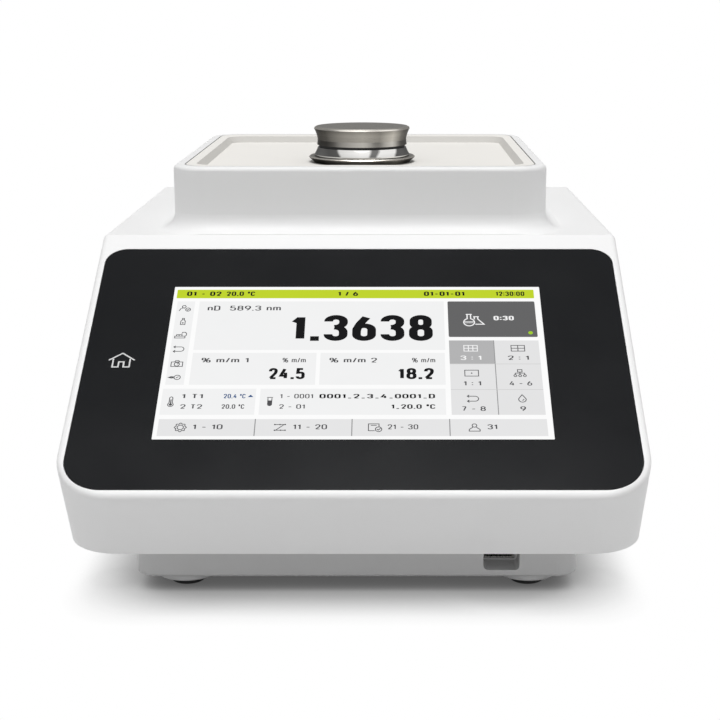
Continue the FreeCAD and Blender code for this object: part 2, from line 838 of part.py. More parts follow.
def base_tray():
    flange_front = panel_point("(wall - fascia_margin)",
                               panel_out_at("housing_bottom", "(wall - fascia_margin)"))[0]
    inset = "flange_clearance"
    flange = slab("flange", f"{inset} - inner_half_width", f"inner_half_width - {inset}",
                  f"{flange_front} + {inset}",
                  f"inner_rear - {inset}", "housing_bottom", "flange_top", "flange_corner_radius")
    plinth = slab("plinth", "-base_half_width", "base_half_width", "-base_front_depth", "base_rear_depth",
                  "base_bottom", "housing_bottom + 1", "base_corner_radius")
    round_edges(plinth, "edge_rounding / 2", lambda edge: near(edge.BoundBox.ZMax, "base_bottom"))
    well = slab("well", "wall - base_half_width", "base_half_width - wall", "wall - base_front_depth",
                "base_rear_depth - wall", "base_floor", "2 * flange_top", "base_corner_radius - wall")
    shell = cut(fuse([flange, plinth]), [well], "base_shell")
    port_box = box(("recess_left - wall", "-base_front_depth + wall / 2", "base_bottom + wall / 2"),
                   ("recess_left + recess_width + wall", "recess_back + wall",
                    "recess_bottom + recess_height + wall"))
    recess = new_body("port_recess")
    mouth = corners("recess_left", "recess_left + recess_width", "recess_bottom",
                    "recess_bottom + recess_height")
    pad(recess, sketch(recess, "XZ_Plane", mouth, offset="-recess_back"), "recess_depth + wall")
    round_edges(recess, "recess_corner", lambda edge: runs(edge, (0, 1, 0)))
    port_hole = box(("port_left - flange_clearance", "recess_back - 1", "port_bottom - flange_clearance"),
                    ("port_left + port_width + flange_clearance", "recess_back + 2 * wall",
                     "port_bottom + port_tall + flange_clearance"))
    tools = [recess, port_hole]
    for side, y in BOSS_PLACES:
        tools.append(rod("screw_radius + flange_clearance", "2 * wall", f"{side} * boss_x", y,
                         "housing_bottom - 1"))
    for _, x, y in FOOT_PLACES:
        tools.append(rod("stem_radius + flange_clearance", "2 * wall", x, y, "base_bottom - 1"))
    slot_row = []
    for index in range(int(number("vent_slots"))):
        middle = f"vent_pitch * ({index} - (vent_slots - 1) / 2)"
        slot_row.append(box((f"{middle} - vent_width / 2", "vent_middle - vent_length / 2",
                             "base_bottom - 1"),
                            (f"{middle} + vent_width / 2", "vent_middle + vent_length / 2",
                             "base_floor + 1")))
    tools += slot_row
    return node(cut(fuse([shell, port_box]), tools), "base_tray")


def feet():
    for name, x, y in FOOT_PLACES:
        disc = soft_disc("foot_radius", "pad_height", "base_bottom", x, y)
        stem = rod("stem_radius", "stem_length + 1", x, y, "base_bottom - 1")
        seat = rod("pad_radius", "pad_seat + 1", x, y, "pad_height - 1")
        node(cut(fuse([disc, stem]), [seat]), f"foot_{name}")
    pads = [soft_disc("pad_radius", "0", "pad_height + pad_seat", x, y) for _, x, y in FOOT_PLACES]
    node(group(pads), "foot_pads")


def soft_disc(radius, bottom, top, x, y):
    """A disc with a softened lower edge."""
    disc = turned("disc", [("0", bottom), (radius, bottom), (radius, top), ("0", top)], x, y)
    round_edges(disc, "pad_seat", lambda edge: near(edge.BoundBox.ZMax, bottom) and edge.Length > 10)
    return disc


# Screws, as one node per kind
def screw(x, y, z, length="screw_length", axis=None, angle="0"):
    """A pan-head screw whose head starts at a point, the shank running on from it."""
    head = "screw_head_radius"
    outline = [("0", "0"), (f"{head} - screw_head_rounding", "0"), (head, "screw_head_rounding"),
               (head, "screw_head_height"),
               ("screw_radius", "screw_head_height"), ("screw_radius", f"screw_head_height + {length}"),
               ("0", f"screw_head_height + {length}")]
    body = turned("screw", outline, x, y, z)
    if axis is not None:
        turn(body, axis, angle)
        locate(body, x, y, z)
    return body


def housing_screws():
    screws = [screw(f"{side} * boss_x", y, "housing_bottom - screw_head_height") for side, y in BOSS_PLACES]
    return node(group(screws), "housing_screws")


PANEL_SCREW_PLACES = [(f"{side} * (rear_panel_half_width - panel_screw_inset)", z) for side in (-1, 0, 1)
                      for z in ("rear_panel_bottom + panel_screw_inset",
                                "rear_panel_top - panel_screw_inset")]


def panel_screw_holes():
    """Blind holes for the rear panel's screws, in the frame around its opening."""
    return [rod("screw_radius", "panel_screw_length", x, "rear_panel_front", z, X_AXIS, "90")
            for x, z in PANEL_SCREW_PLACES]


def panel_screws():
    back = "rear_panel_back + screw_head_height"
    screws = [screw(x, back, z, "panel_screw_length", X_AXIS, "90") for x, z in PANEL_SCREW_PLACES]
    return node(group(screws), "rear_panel_screws")


# Rear panel with its openings
def rear_panel():
    plate = box(("-rear_panel_half_width", "rear_panel_front", "rear_panel_bottom"),
                ("rear_panel_half_width", "rear_panel_back", "rear_panel_top"))
    tools = [rod("screw_radius + flange_clearance", "2 * rear_panel_thickness", x, "rear_panel_back + 1", z,
                 X_AXIS,
                 "90") for x, z in PANEL_SCREW_PLACES]
    tools += grille_slots()
    for x, z, width, tall in panel_cutouts():
        tools.append(centred_box(x, z, f"{width} + flange_clearance", f"{tall} + flange_clearance",
                                 "rear_panel_front - 1", "rear_panel_back + 1"))
    return node(cut(plate, tools), "rear_panel")


def panel_cutouts():
    """Centre, width and height of each fitting that passes through the rear panel."""
    return (
        ("inlet_x", "inlet_height", "inlet_width - 4", "inlet_tall - 4"),
        ("inlet_x", "switch_height", "switch_width", "switch_tall"),
        ("ethernet_x", "ethernet_middle", "ethernet_width", "ethernet_tall"),
        ("usb_x", "usb_middle", "usb_stack_width", "usb_stack_tall"),
        ("serial_x", "serial_middle", "serial_width", "serial_tall"),
    )


def centred_box(x, z, width, tall, front, back):
    """A box with a given centre in x and z."""
    return box((f"{x} - ({width}) / 2", front, f"{z} - ({tall}) / 2"),
               (f"{x} + ({width}) / 2", back, f"{z} + ({tall}) / 2"))


def grille_slots():
    """Air slots in front of the fan, shorter towards its rim."""
    slots = []
    rows = int(number("grille_rows"))
    for row in range(-rows, rows + 1):
        height = f"fan_height + {row} * grille_pitch"
        reach = f"sqrt(fan_bore ^ 2 - ({row} * grille_pitch) ^ 2)"
        slots.append(box((f"fan_x - {reach} + 1", "rear_panel_front - 1", f"{height} - grille_slot / 2"),
                         (f"fan_x + {reach} - 1", "rear_panel_back + 1", f"{height} + grille_slot / 2")))
    return slots


# Fittings on the rear panel
def power_inlet():
    """An appliance inlet: a flange outside the panel and a shell with a cavity behind it."""
    front = "rear_panel_back - inlet_depth"
    shell = centred_box("inlet_x", "inlet_height", "inlet_width - 4", "inlet_tall - 4", front,
                        "rear_panel_back")
    flange = centred_box("inlet_x", "inlet_height", "inlet_width", "inlet_tall", "rear_panel_back",
                         "rear_panel_back + inlet_lip")
    cavity = new_body("inlet_cavity")
    half = "(inlet_width / 2 - inlet_wall)"
    low, high = "inlet_height - inlet_cavity_tall / 2", "inlet_height + inlet_cavity_tall / 2"
    mouth = [(f"inlet_x - {half}", low), (f"inlet_x + {half}", low),
             (f"inlet_x + {half}", f"{high} - inlet_chamfer"),
             (f"inlet_x + {half} - inlet_chamfer", high), (f"inlet_x - {half} + inlet_chamfer", high),
             (f"inlet_x - {half}", f"{high} - inlet_chamfer")]
    pad(cavity, sketch(cavity, "XZ_Plane", mouth, offset="-rear_depth"), "inlet_cavity_depth")
    return node(cut(fuse([shell, flange]), [cavity]), "power_inlet")


def inlet_pins():
    """Three flat contacts that stand in the inlet's cavity."""
    front = "rear_depth - inlet_cavity_depth"
    pins = [centred_box(f"inlet_x + {side} * inlet_pin_spread", f"inlet_height + {way} * inlet_pin_rise",
                        "inlet_pin_width", "inlet_pin_tall", front, "rear_panel_front - inlet_pin_width / 2")
            for side, way in ((-1, -1), (0, 1), (1, -1))]
    return node(group(pins), "inlet_pins")


def switch_frame():
    body = centred_box("inlet_x", "switch_height", "switch_width", "switch_tall",
                       "rear_panel_back - switch_depth",
                       "rear_panel_back")
    flange = centred_box("inlet_x", "switch_height", "switch_width + 2.5 * switch_wall",
                         "switch_tall + 2.5 * switch_wall", "rear_panel_back", "rear_panel_back + socket_lip")
    hollow = centred_box("inlet_x", "switch_height", "switch_width - 2 * switch_wall",
                         "switch_tall - 2 * switch_wall",
                         "rear_panel_back - switch_depth + 2.5 * switch_wall",
                         "rear_depth")
    pin = rod("pin_radius", "switch_width - 1", "inlet_x - (switch_width - 1) / 2", "switch_pin_y",
              "switch_height",
              Y_AXIS, "90")
    return node(fuse([cut(fuse([body, flange]), [hollow]), pin]), "switch_frame")


def switch_rocker():
    """A rocker that tips on the frame's pin; at rest its lower face is pressed in."""
    half, slope = "(switch_tall / 2 - 2 * switch_wall - 0.2)", "tan(switch_angle)"
    face = "(switch_pin_depth + socket_lip / 2)"
    rocker = new_body("rocker")
    tip = f"{face} + {half} * {slope} / 2"
    side = [("0", f"-{half}"), (tip, f"-{half}"), (f"{face} - {half} * {slope} / 2", "0"), (tip, half),
            ("0", half),
            ("-switch_pin_depth", "2 * pin_radius"), ("-switch_pin_depth", "-2 * pin_radius")]
    pad(rocker, sketch(rocker, "YZ_Plane", side), "switch_width - 2 * switch_wall - 0.8", middle=True)
    bore = rod("pin_radius + running_fit", "2 * switch_width", "-switch_width", axis=Y_AXIS, angle="90")
    tipped = turn(cut(rocker, [bore]), X_AXIS, "-switch_angle / 2")
    return node(locate(tipped, "inlet_x", "switch_pin_y", "switch_height"), "switch_rocker")


def port_body(x, z, width, tall, depth, cavities):
    """A board-mounted socket: a shell with one or more cavities that open to the back."""
    shell = centred_box(x, z, width, tall, f"rear_panel_back - {depth}", "rear_panel_back + socket_lip")
    tools = []
    for cavity_z, cavity_width, cavity_tall, cavity_depth in cavities:
        tools.append(centred_box(x, cavity_z, cavity_width, cavity_tall, f"rear_panel_back - {cavity_depth}",
                                 "rear_depth"))
    return cut(shell, tools)


def rear_ports():
    mouth = ("ethernet_middle - socket_lip", "ethernet_mouth_width", "ethernet_mouth_tall",
             "ethernet_mouth_depth")
    node(port_body("ethernet_x", "ethernet_middle", "ethernet_width", "ethernet_tall", "ethernet_depth",
                   [mouth]),
         "ethernet_port")
    levels = ("usb_middle - usb_pitch / 2", "usb_middle + usb_pitch / 2")
    stack = port_body("usb_x", "usb_middle", "usb_stack_width", "usb_stack_tall", "usb_stack_depth",
                      [(level, "port_width", "port_tall", "usb_mouth_depth") for level in levels])
    tongues = [centred_box("usb_x", f"{level} + port_tongue / 2", "port_width - 2", "port_tongue",
                           "rear_panel_back - usb_mouth_depth - port_shell", "rear_panel_back")
               for level in levels]
    node(fuse([stack] + tongues), "rear_usb_port")
    shell = centred_box("serial_x", "serial_middle", "serial_width", "serial_tall",
                        "rear_panel_back - serial_depth",
                        "rear_panel_back")
    flange = centred_box("serial_x", "serial_middle", "serial_width + serial_ears",
                         "serial_tall + serial_ears / 3",
                         "rear_panel_back", "rear_panel_back + 2 * port_shell")
    inside = "5 * port_shell"
    sleeve = centred_box("serial_x", "serial_middle", f"serial_width - {inside}", f"serial_tall - {inside}",
                         "rear_panel_back", "rear_depth")
    inside = "7 * port_shell"
    hollow = centred_box("serial_x", "serial_middle", f"serial_width - {inside}", f"serial_tall - {inside}",
                         "rear_panel_back - 1", "rear_depth + 1")
    node(cut(fuse([shell, flange, sleeve]), [hollow]), "serial_port")


# Fan: a square frame with a spider, and a rotor that turns on its shaft
def fan_frame():
    front = "rear_panel_front - fan_depth"
    body = centred_box("fan_x", "fan_height", "fan_size", "fan_size", front, "rear_panel_front")
    bore = rod("fan_bore", "2 * fan_depth", "fan_x", "rear_panel_front + 1", "fan_height", X_AXIS, "90")
    hub = rod("fan_hub", "fan_web", "fan_x", "rear_panel_front", "fan_height", X_AXIS, "90")
    reach = "fan_bore + fan_web / 2"
    across = centred_box("fan_x", "fan_height", f"2 * ({reach})", "1.5 * fan_web",
                         "rear_panel_front - fan_web",
                         "rear_panel_front")
    upright_arm = centred_box("fan_x", "fan_height", "1.5 * fan_web", f"2 * ({reach})",
                              "rear_panel_front - fan_web",
                              "rear_panel_front")
    shaft = rod("fan_shaft", "fan_depth - 1.5 * fan_web", "fan_x", "rear_panel_front - fan_web / 2",
                "fan_height",
                X_AXIS, "90")
    spread = "(fan_size / 2 - fan_screw_inset)"
    holes = [rod("screw_radius", "2 * fan_depth", f"fan_x + {side} * {spread}", "rear_panel_front + 1",
                 f"fan_height + {level} * {spread}", X_AXIS, "90") for side in (-1, 1) for level in (-1, 1)]
    ring = cut(body, [bore] + holes, "fan_ring")
    return node(fuse([ring, hub, shaft, across, upright_arm]), "fan_frame")


def fan_rotor():
    hub = rod("fan_hub", "rotor_depth", "fan_x", "rotor_back", "fan_height", X_AXIS, "90")
    hollow = rod("fan_shaft + running_fit", "fan_depth", "fan_x", "rear_panel_front", "fan_height", X_AXIS,
                 "90")
    blades = [fan_blade(index) for index in range(int(number("fan_blades")))]
    return node(cut(fuse([hub] + blades), [hollow]), "fan_rotor")


def fan_blade(index):
    """A flat blade from the hub to the tip, set at a slant to the shaft."""
    blade = doc.addObject("Part::Box", "blade")
    bind(blade, "Length", "fan_bore - fan_tip_gap - fan_hub + fan_web")
    bind(blade, "Width", "blade_thickness")
    bind(blade, "Height", "blade_depth")
    around = FreeCAD.Rotation(Y_AXIS, 360 * index / number("fan_blades"))
    slant = FreeCAD.Rotation(X_AXIS, number("blade_slant"))
    turned_way = around.multiply(slant)
    start = around.multVec(Vector(number("fan_hub - fan_web"), 0, 0))
    lean = turned_way.multVec(Vector(0, number("-blade_thickness / 2"), number("-blade_depth / 2")))
    middle = Vector(number("fan_x"), number("rotor_back - rotor_depth / 2"), number("fan_height"))
    blade.Placement = FreeCAD.Placement(middle + start + lean, turned_way)
    return blade


# Sample plate, its joint seal, the dish and the measuring cell below it
def sample_plate():
    joint = "plate_joint"
    plate = slab("sample_plate_body", f"{joint} - opening_half_width", f"opening_half_width - {joint}",
                 f"opening_front + {joint}", f"opening_rear - {joint}", "plate_bottom", "tray_top",
                 "opening_corner - plate_joint")
    rim = rounded(f"{joint} + plate_side_rim - opening_half_width",
                  f"opening_half_width - {joint} - plate_side_rim",
                  f"opening_front + {joint} + plate_front_rim", f"opening_rear - {joint} - plate_rear_rim",
                  "plate_recess_corner")
    pocket(plate, sketch(plate, "XY_Plane", *rim, offset="tray_top"), "plate_recess", taper="-plate_slope")
    hole = rod("dish_neck + flange_clearance", "2 * plate_thickness", "0", "cell_y", "plate_bottom - 1")
    return node(cut(plate, [hole]), "sample_plate")


def plate_seal():
    """A rubber strip in the joint between the plate and the tray's rim."""
    gap = "plate_joint"
    outer = slab("seal_outer", "-opening_half_width", "opening_half_width", "opening_front", "opening_rear",
                 "plate_bottom", "tray_top - plate_joint", "opening_corner")
    inner = slab("seal_inner", f"{gap} - opening_half_width", f"opening_half_width - {gap}",
                 f"opening_front + {gap}",
                 f"opening_rear - {gap}", "plate_bottom - 1", "tray_top", "opening_corner - plate_joint")
    return node(cut(outer, [inner]), "plate_seal")


def sample_dish():
    outline = [("prism_window", "dish_foot"), ("dish_neck", "dish_foot"), ("dish_neck", "plate_floor - 0.4"),
               ("dish_neck + 0.7", "plate_floor + 0.6"), ("dish_radius - 0.3", "dish_top - 0.9"),
               ("dish_radius", "dish_top - 0.5"), ("dish_radius - 0.5", "dish_top"),
               ("dish_well", "dish_top"),
               ("dish_well - 0.8", "dish_top - 0.6"), ("prism_window + 2.2", "dish_floor_height + 0.1"),
               ("prism_window", "dish_floor_height")]
    return node(turned("dish", outline, y="cell_y"), "sample_dish")


def measuring_prism():
    """A trapezoid with a round seat on top; its two slopes face the light paths."""
    foot = "prism_half_width - prism_depth / tan(beam_angle)"
    top = "dish_foot"
    wedge = new_body("prism_wedge")
    front = [(f"-({foot})", f"{top} - prism_depth"), (foot, f"{top} - prism_depth"),
             ("prism_half_width", top),
             ("-prism_half_width", top)]
    drawing = sketch(wedge, "XZ_Plane", front)
    pad(wedge, drawing, "2 * prism_half_depth", middle=True)
    locate(wedge, y="cell_y")
    seat = rod("prism_window", "dish_floor_height - dish_foot + 0.01 - 0.3", "0", "cell_y", top)
    return node(fuse([wedge, seat]), "measuring_prism")


def beam_rod(side, radius, start, end, name="beam"):
    """A cylinder on the light path, left (-1) or right (1), between two distances from the prism."""
    away = f"{side} * sin(beam_angle)"
    return rod(radius, f"({end}) - ({start})", f"({away}) * ({start})", "cell_y",
               f"dish_foot - cos(beam_angle) * ({start})", Y_AXIS, f"{side} * (180 - beam_angle)", name)


def beam_plate(side, half_side, start, end):
    """A square plate across the light path."""
    plate = doc.addObject("Part::Box", "beam_plate")
    bind(plate, "Length", f"2 * ({half_side})")
    bind(plate, "Width", f"2 * ({half_side})")
    bind(plate, "Height", f"({end}) - ({start})")
    turn(plate, Y_AXIS, f"{side} * (180 - beam_angle)")
    away = f"{side} * sin(beam_angle) * ({start}) + ({half_side}) * cos(beam_angle)"
    down = f"dish_foot - cos(beam_angle) * ({start}) + {side} * ({half_side}) * sin(beam_angle)"
    return locate(plate, away, f"cell_y - ({half_side})", down)


def cell_block():
    """The metal block under the dish: a pocket for the prism and two slanted light paths."""
    block = slab("block", "-block_half_width", "block_half_width", "cell_y - block_half_depth", "block_rear",
                 "bench_top", "dish_foot", "2")
    room = "running_fit"
    socket = new_body("prism_socket")
    foot = "prism_half_width - prism_depth / tan(beam_angle)"
    front = [(f"-({foot}) - {room}", f"dish_foot - prism_depth - {room}"), (f"{foot} + {room}",
              f"dish_foot - prism_depth - {room}"), (f"prism_half_width + {room}", "dish_foot"),
             (f"prism_half_width + {room}", "dish_foot + 1"),
             (f"-prism_half_width - {room}", "dish_foot + 1"),
             (f"-prism_half_width - {room}", "dish_foot")]
    pad(socket, sketch(socket, "XZ_Plane", front), f"2 * (prism_half_depth + {room})", middle=True)
    locate(socket, y="cell_y")
    beams = [beam_rod(side, "beam_radius", "6", "2 * block_half_width") for side in (-1, 1)]
    return node(cut(block, [socket] + beams), "cell_block")


def barrels():
    """Two tubes on the light paths, their lenses, boards and clamps, and what stands on the boards."""
    clamps = []
    for side, name, reach, lens, lens_at in (
            (-1, "light", "light_reach", "condenser_lens", "condenser_reach"),
            (1, "camera", "camera_reach", "objective_lens", "objective_reach")):
        tube = beam_rod(side, "barrel_radius", "barrel_start", reach)
        bore = beam_rod(side, "beam_radius", "barrel_start - 1", f"{reach} + 1")
        node(cut(tube, [bore]), f"{name}_barrel")
        node(beam_rod(side, "beam_radius", lens_at, f"{lens_at} + lens_thickness"), lens)
        half = "barrel_radius + clamp_half_width"
        node(beam_plate(side, half, reach, f"{reach} + board_thickness"), f"{name}_board")
        clamp_middle = f"{side} * sin(beam_angle) * clamp_reach"
        post = box((f"{clamp_middle} - clamp_half_width", "cell_y - clamp_half_depth", "bench_top"),
                   (f"{clamp_middle} + clamp_half_width", "cell_y + clamp_half_depth",
                    "dish_foot - cos(beam_angle) * clamp_reach + clamp_rise"))
        seat = beam_rod(side, "barrel_radius", "barrel_start / 2", "2 * camera_reach")
        clamps.append(cut(post, [seat]))
    node(group(clamps), "barrel_clamps")
    node(beam_rod(-1, "beam_radius / 2", "light_reach - 5", "light_reach"), "light_source")
    node(beam_plate(1, "3.5", "camera_reach - 2", "camera_reach"), "sensor_chip")


def optics_bench():
    plate = slab("bench", "-bench_half_width", "bench_half_width", "cell_y - bench_half_depth",
                 "cell_y + bench_half_depth", "bench_height", "bench_top", "4")
    return node(plate, "optics_bench")


def bench_posts():
    posts = [rod("post_radius", "bench_height - base_floor", f"{side} * post_x", f"cell_y + {way} * post_y",
                 "base_floor") for side in (-1, 1) for way in (-1, 1)]
    return node(group(posts), "bench_posts")


def thermal_parts():
    half = "peltier_size / 2"
    level = "dish_foot - 1 - peltier_size"
    node(box((f"-{half}", "block_rear", level), (half, "block_rear + peltier_thickness",
                                                 f"{level} + peltier_size")),
         "peltier_module")
    sink_front = "block_rear + peltier_thickness"
    bottom = "dish_foot - 1 - sink_height"
    base = box(("-sink_width / 2", sink_front, bottom), ("sink_width / 2", f"{sink_front} + sink_base",
                                                       f"{bottom} + sink_height"))
    fins = []
    count = int(number("fin_count"))
    for index in range(count):
        x = f"(sink_width - fin_thickness) * ({index} / (fin_count - 1) - 0.5)"
        fins.append(box((f"{x} - fin_thickness / 2", f"{sink_front} + sink_base - 0.5", bottom),
                        (f"{x} + fin_thickness / 2", f"{sink_front} + sink_base + fin_length",
                         f"{bottom} + sink_height")))
    node(fuse([base] + fins), "heat_sink")


# Boards and the power supply in the base's well
MAIN_BOARD = ("main_left", "main_right", "main_front", "main_back")
DRIVER_BOARD = ("driver_left", "driver_right", "driver_front", "driver_back")
USB_BOARD = ("port_left - usb_board_margin", "port_left + port_width + usb_board_margin",
             "port_back - usb_board_margin", "port_back - usb_board_margin + usb_board_length")
# Larger components: their board, share of its width and depth to the low corner, width, depth and height
COMPONENTS = (
    ("main", 0.35, 0.33, 24, 24, 2.4),
    ("main", 0.65, 0.37, 14, 18, 1.6),
    ("main", 0.10, 0.63, 10, 30, 9),
    ("main", 0.82, 0.73, 16, 12, 6),
    ("driver", 0.18, 0.32, 12, 12, 1.8),
    ("driver", 0.53, 0.64, 22, 12, 11),
)


def circuit_board(name, edges, height="board_height"):
    left, right, front, back = edges
    return node(slab(name, left, right, front, back, height, f"{height} + board_thickness", "2"), name)


def standoffs_for(edges, inset="standoff_inset"):
    """A spacer under each corner of a board, standing on the base's floor."""
    left, right, front, back = edges
    return [rod("spacer_radius", "board_height - base_floor", x, y, "base_floor")
            for x in (f"{left} + {inset}", f"{right} - {inset}")
             for y in (f"{front} + {inset}", f"{back} - {inset}")]


def base_boards():
    circuit_board("main_board", MAIN_BOARD)
    circuit_board("driver_board", DRIVER_BOARD)
    circuit_board("usb_board", USB_BOARD)
    usb_spacers = standoffs_for(USB_BOARD, "usb_board_margin")[1::2]
    node(group(standoffs_for(MAIN_BOARD) + standoffs_for(DRIVER_BOARD) + usb_spacers), "board_standoffs")
    chips = []
    for board, across, along, width, depth, height in COMPONENTS:
        left = f"{board}_left + {across} * ({board}_right - {board}_left)"
        front = f"{board}_front + {along} * ({board}_back - {board}_front)"
        chips.append(box((left, front, "board_top"),
                         (f"{left} + {width}", f"{front} + {depth}", f"board_top + {height}")))
    node(group(chips), "board_components")


def front_usb():
    """The front port's metal shell and the contact tongue inside it."""
    shell = box(("port_left", "recess_back", "port_bottom"),
                ("port_left + port_width", "port_back", "port_bottom + port_tall"))
    top = "port_bottom + port_tall - port_shell"
    room = box(("port_left + port_shell", "recess_back - 1", "port_bottom + port_shell"),
               ("port_left + port_width - port_shell", "port_back - 1", top))
    node(cut(shell, [room]), "front_usb_port")
    side_gap = "2.5 * port_shell"
    tongue = box((f"port_left + {side_gap}", "recess_back + 1.5 * port_shell",
                  f"{top} - port_shell - port_tongue"),
                 (f"port_left + port_width - {side_gap}", "port_back - 1", f"{top} - port_shell"))
    node(tongue, "front_usb_tongue")


def power_supply():
    return node(box(("supply_left", "supply_front", "base_floor"),
                    ("supply_right", "supply_rear", "base_floor + supply_height")), "power_supply")


def io_board():
    """The socket board behind the rear panel, on four long spacers."""
    circuit_board("io_board", ("io_left", "io_right", "io_front", "rear_panel_front"), "io_board_height")
    spacers = []
    for x in ("io_left + standoff_inset", "io_right - standoff_inset"):
        spacers.append(rod("spacer_radius", "io_board_height - flange_top", x,
                           "base_rear_depth - wall + spacer_radius + 1", "flange_top"))
        spacers.append(rod("spacer_radius", "io_board_height - base_floor", x, "io_front + board_margin",
                           "base_floor"))
    node(group(spacers), "io_board_spacers")


# Lid: lifts off the dish; its metal foot and cap are screwed together over a rubber ring
def lid():
    foot, joint = "lid_foot", "lid_joint"
    head = f"{foot} - lid_plug_depth"
    skirt_outline = [("0", head), ("lid_plug_radius - lid_plug_chamfer", head),
                     ("lid_plug_radius", f"{head} + lid_plug_chamfer"), ("lid_plug_radius", foot),
                     ("lid_foot_radius", foot), ("lid_foot_radius", f"{foot} + lid_foot_thickness"),
                     ("lid_skirt_radius", joint), ("0", joint)]
    skirt = turned("lid_skirt_body", skirt_outline, y="cell_y", arcs={5: (-1, "lid_skirt_curve")})
    well = rod("screw_head_radius + 0.7", "2.7", "0", "cell_y", f"{foot} - lid_plug_depth - 0.5")
    shank = rod("screw_radius", "2 * lid_skirt_height + lid_plug_depth", "0", "cell_y",
                f"{foot} - lid_plug_depth")
    node(cut(skirt, [well, shank]), "lid_skirt")
    band = "lid_band_foot"
    ring_outline = [("magnet_radius + 1", joint), ("lid_groove_radius", joint), ("lid_groove_radius", band),
                    ("magnet_radius + 1", band)]
    node(turned("lid_ring_body", ring_outline, y="cell_y"), "lid_ring")
    top = "lid_top"
    rounding = "lid_top_rounding"
    cap_outline = [("0", band), ("lid_band_radius", band), ("lid_waist_radius", f"{band} + lid_waist_rise"),
                   ("lid_top_radius", f"{top} - {rounding}"),
                   (f"lid_top_radius - 0.3 * {rounding}", f"{top} - 0.4 * {rounding}"),
                   (f"lid_top_radius - {rounding}", top), ("0", top)]
    cap = turned("lid_cap_body", cap_outline, y="cell_y", arcs={2: (-1, "lid_cap_curve")})
    seat = rod("magnet_radius", "magnet_height", "0", "cell_y", band)
    thread = rod("screw_radius", "magnet_height + 2.5", "0", "cell_y", band)
    node(cut(cap, [seat, thread]), "lid_cap")
    magnet = rod("magnet_radius", "magnet_height", "0", "cell_y", band)
    hole = rod("screw_radius", "2 * magnet_height", "0", "cell_y", f"{band} - 1")
    node(cut(magnet, [hole]), "lid_magnet")
    node(screw("0", "cell_y", f"{head} + 0.4", f"{band} + magnet_height + 2 - ({head} + 2.2)"), "lid_screw")


def check_and_export():
    """Recompute, stop at any failed or empty object, then write one file per piece."""
    doc.recompute()
    failed = [item.Label for item in doc.Objects if {"Invalid", "Error"} & set(item.State)]
    if failed:
        raise ValueError(f"failed objects: {failed}")
    os.makedirs("parts", exist_ok=True)
    for item in NODES:
        shape = item.Shape
        if shape.isNull() or not shape.isValid():
            raise ValueError(f"{item.Label}: its shape is empty or not valid")
    for item in NODES:
        item.Shape.exportStep(f"parts/{item.Label}.step")
        span = item.Shape.BoundBox
        print(f"{item.Label:22} solids {len(item.Shape.Solids):2}  volume {item.Shape.Volume:12.1f}  "
              f"x {span.XMin:7.1f} {span.XMax:7.1f}  y {span.YMin:7.1f} {span.YMax:7.1f}  "
              f"z {span.ZMin:6.1f} {span.ZMax:6.1f}")
    print(len(NODES), "pieces")


upper_housing()
cover_glass()
glass_gasket()
lcd_panel()
display_can()
display_bracket()
display_board()
key_board()
base_tray()
feet()
housing_screws()
rear_panel()
panel_screws()
power_inlet()
inlet_pins()
switch_frame()
switch_rocker()
rear_ports()
fan_frame()
fan_rotor()
sample_plate()
plate_seal()
sample_dish()
measuring_prism()
cell_block()
barrels()
optics_bench()
bench_posts()
thermal_parts()
base_boards()
front_usb()
power_supply()
io_board()
lid()
check_and_export()
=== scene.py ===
"""Benchtop refractometer: finishes, lit screen, printed signs, floor, light and camera.

Metres, +Z up, +Y to the back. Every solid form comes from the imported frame. The pieces made here
are thin prints: the picture on the screen, and the signs on the glass, the rear panel and the rocker.
"""
import json
import math

import bmesh
import bpy
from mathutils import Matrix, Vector


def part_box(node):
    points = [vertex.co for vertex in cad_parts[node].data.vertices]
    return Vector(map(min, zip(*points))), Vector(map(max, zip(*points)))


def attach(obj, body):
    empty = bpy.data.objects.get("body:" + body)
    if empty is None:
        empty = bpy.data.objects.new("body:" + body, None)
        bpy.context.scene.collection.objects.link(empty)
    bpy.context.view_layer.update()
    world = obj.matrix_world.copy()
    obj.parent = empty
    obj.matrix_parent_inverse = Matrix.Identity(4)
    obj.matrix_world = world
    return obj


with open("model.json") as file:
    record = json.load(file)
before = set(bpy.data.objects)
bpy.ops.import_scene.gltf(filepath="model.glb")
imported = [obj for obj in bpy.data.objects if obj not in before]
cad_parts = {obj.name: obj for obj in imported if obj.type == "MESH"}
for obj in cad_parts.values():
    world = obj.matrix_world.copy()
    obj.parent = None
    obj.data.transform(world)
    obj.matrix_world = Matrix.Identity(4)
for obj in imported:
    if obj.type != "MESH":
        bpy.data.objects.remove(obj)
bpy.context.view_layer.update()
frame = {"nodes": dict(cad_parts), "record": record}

MM = 0.001

# Panel frame: the lit picture's lower edge lies up the glass from its front edge, a little to the left

PANEL_TILT = math.radians(30.9)
GLASS_THICKNESS = 2.0
SCREEN_FROM_EDGE = 25.4
SCREEN_LEFT = 0.45

glass_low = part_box("cover_glass")[0]
UP_PANEL = Vector((0, math.cos(PANEL_TILT), math.sin(PANEL_TILT)))
glass_edge = Vector((0, glass_low.y, glass_low.z + GLASS_THICKNESS * MM * math.cos(PANEL_TILT)))
SCREEN_EDGE = glass_edge + (UP_PANEL * SCREEN_FROM_EDGE - Vector((SCREEN_LEFT, 0, 0))) * MM


# Materials

# Where a noise value mostly stays
NOISE_RANGE = (0.3, 0.7)

# How far up a face looks, from -1 to 1, where one share of its colour runs over into another: painted shade
# on upright, level and overhanging faces, a painted highlight on the slopes between
UPRIGHT_TO_LEVEL = (0.4, 0.9)
PAINTED_HIGHLIGHT_BEGINS = (0.25, 0.45)
PAINTED_HIGHLIGHT_ENDS = (0.85, 0.97)
LEANING_OVER_SHADED = (-0.55, -0.35)


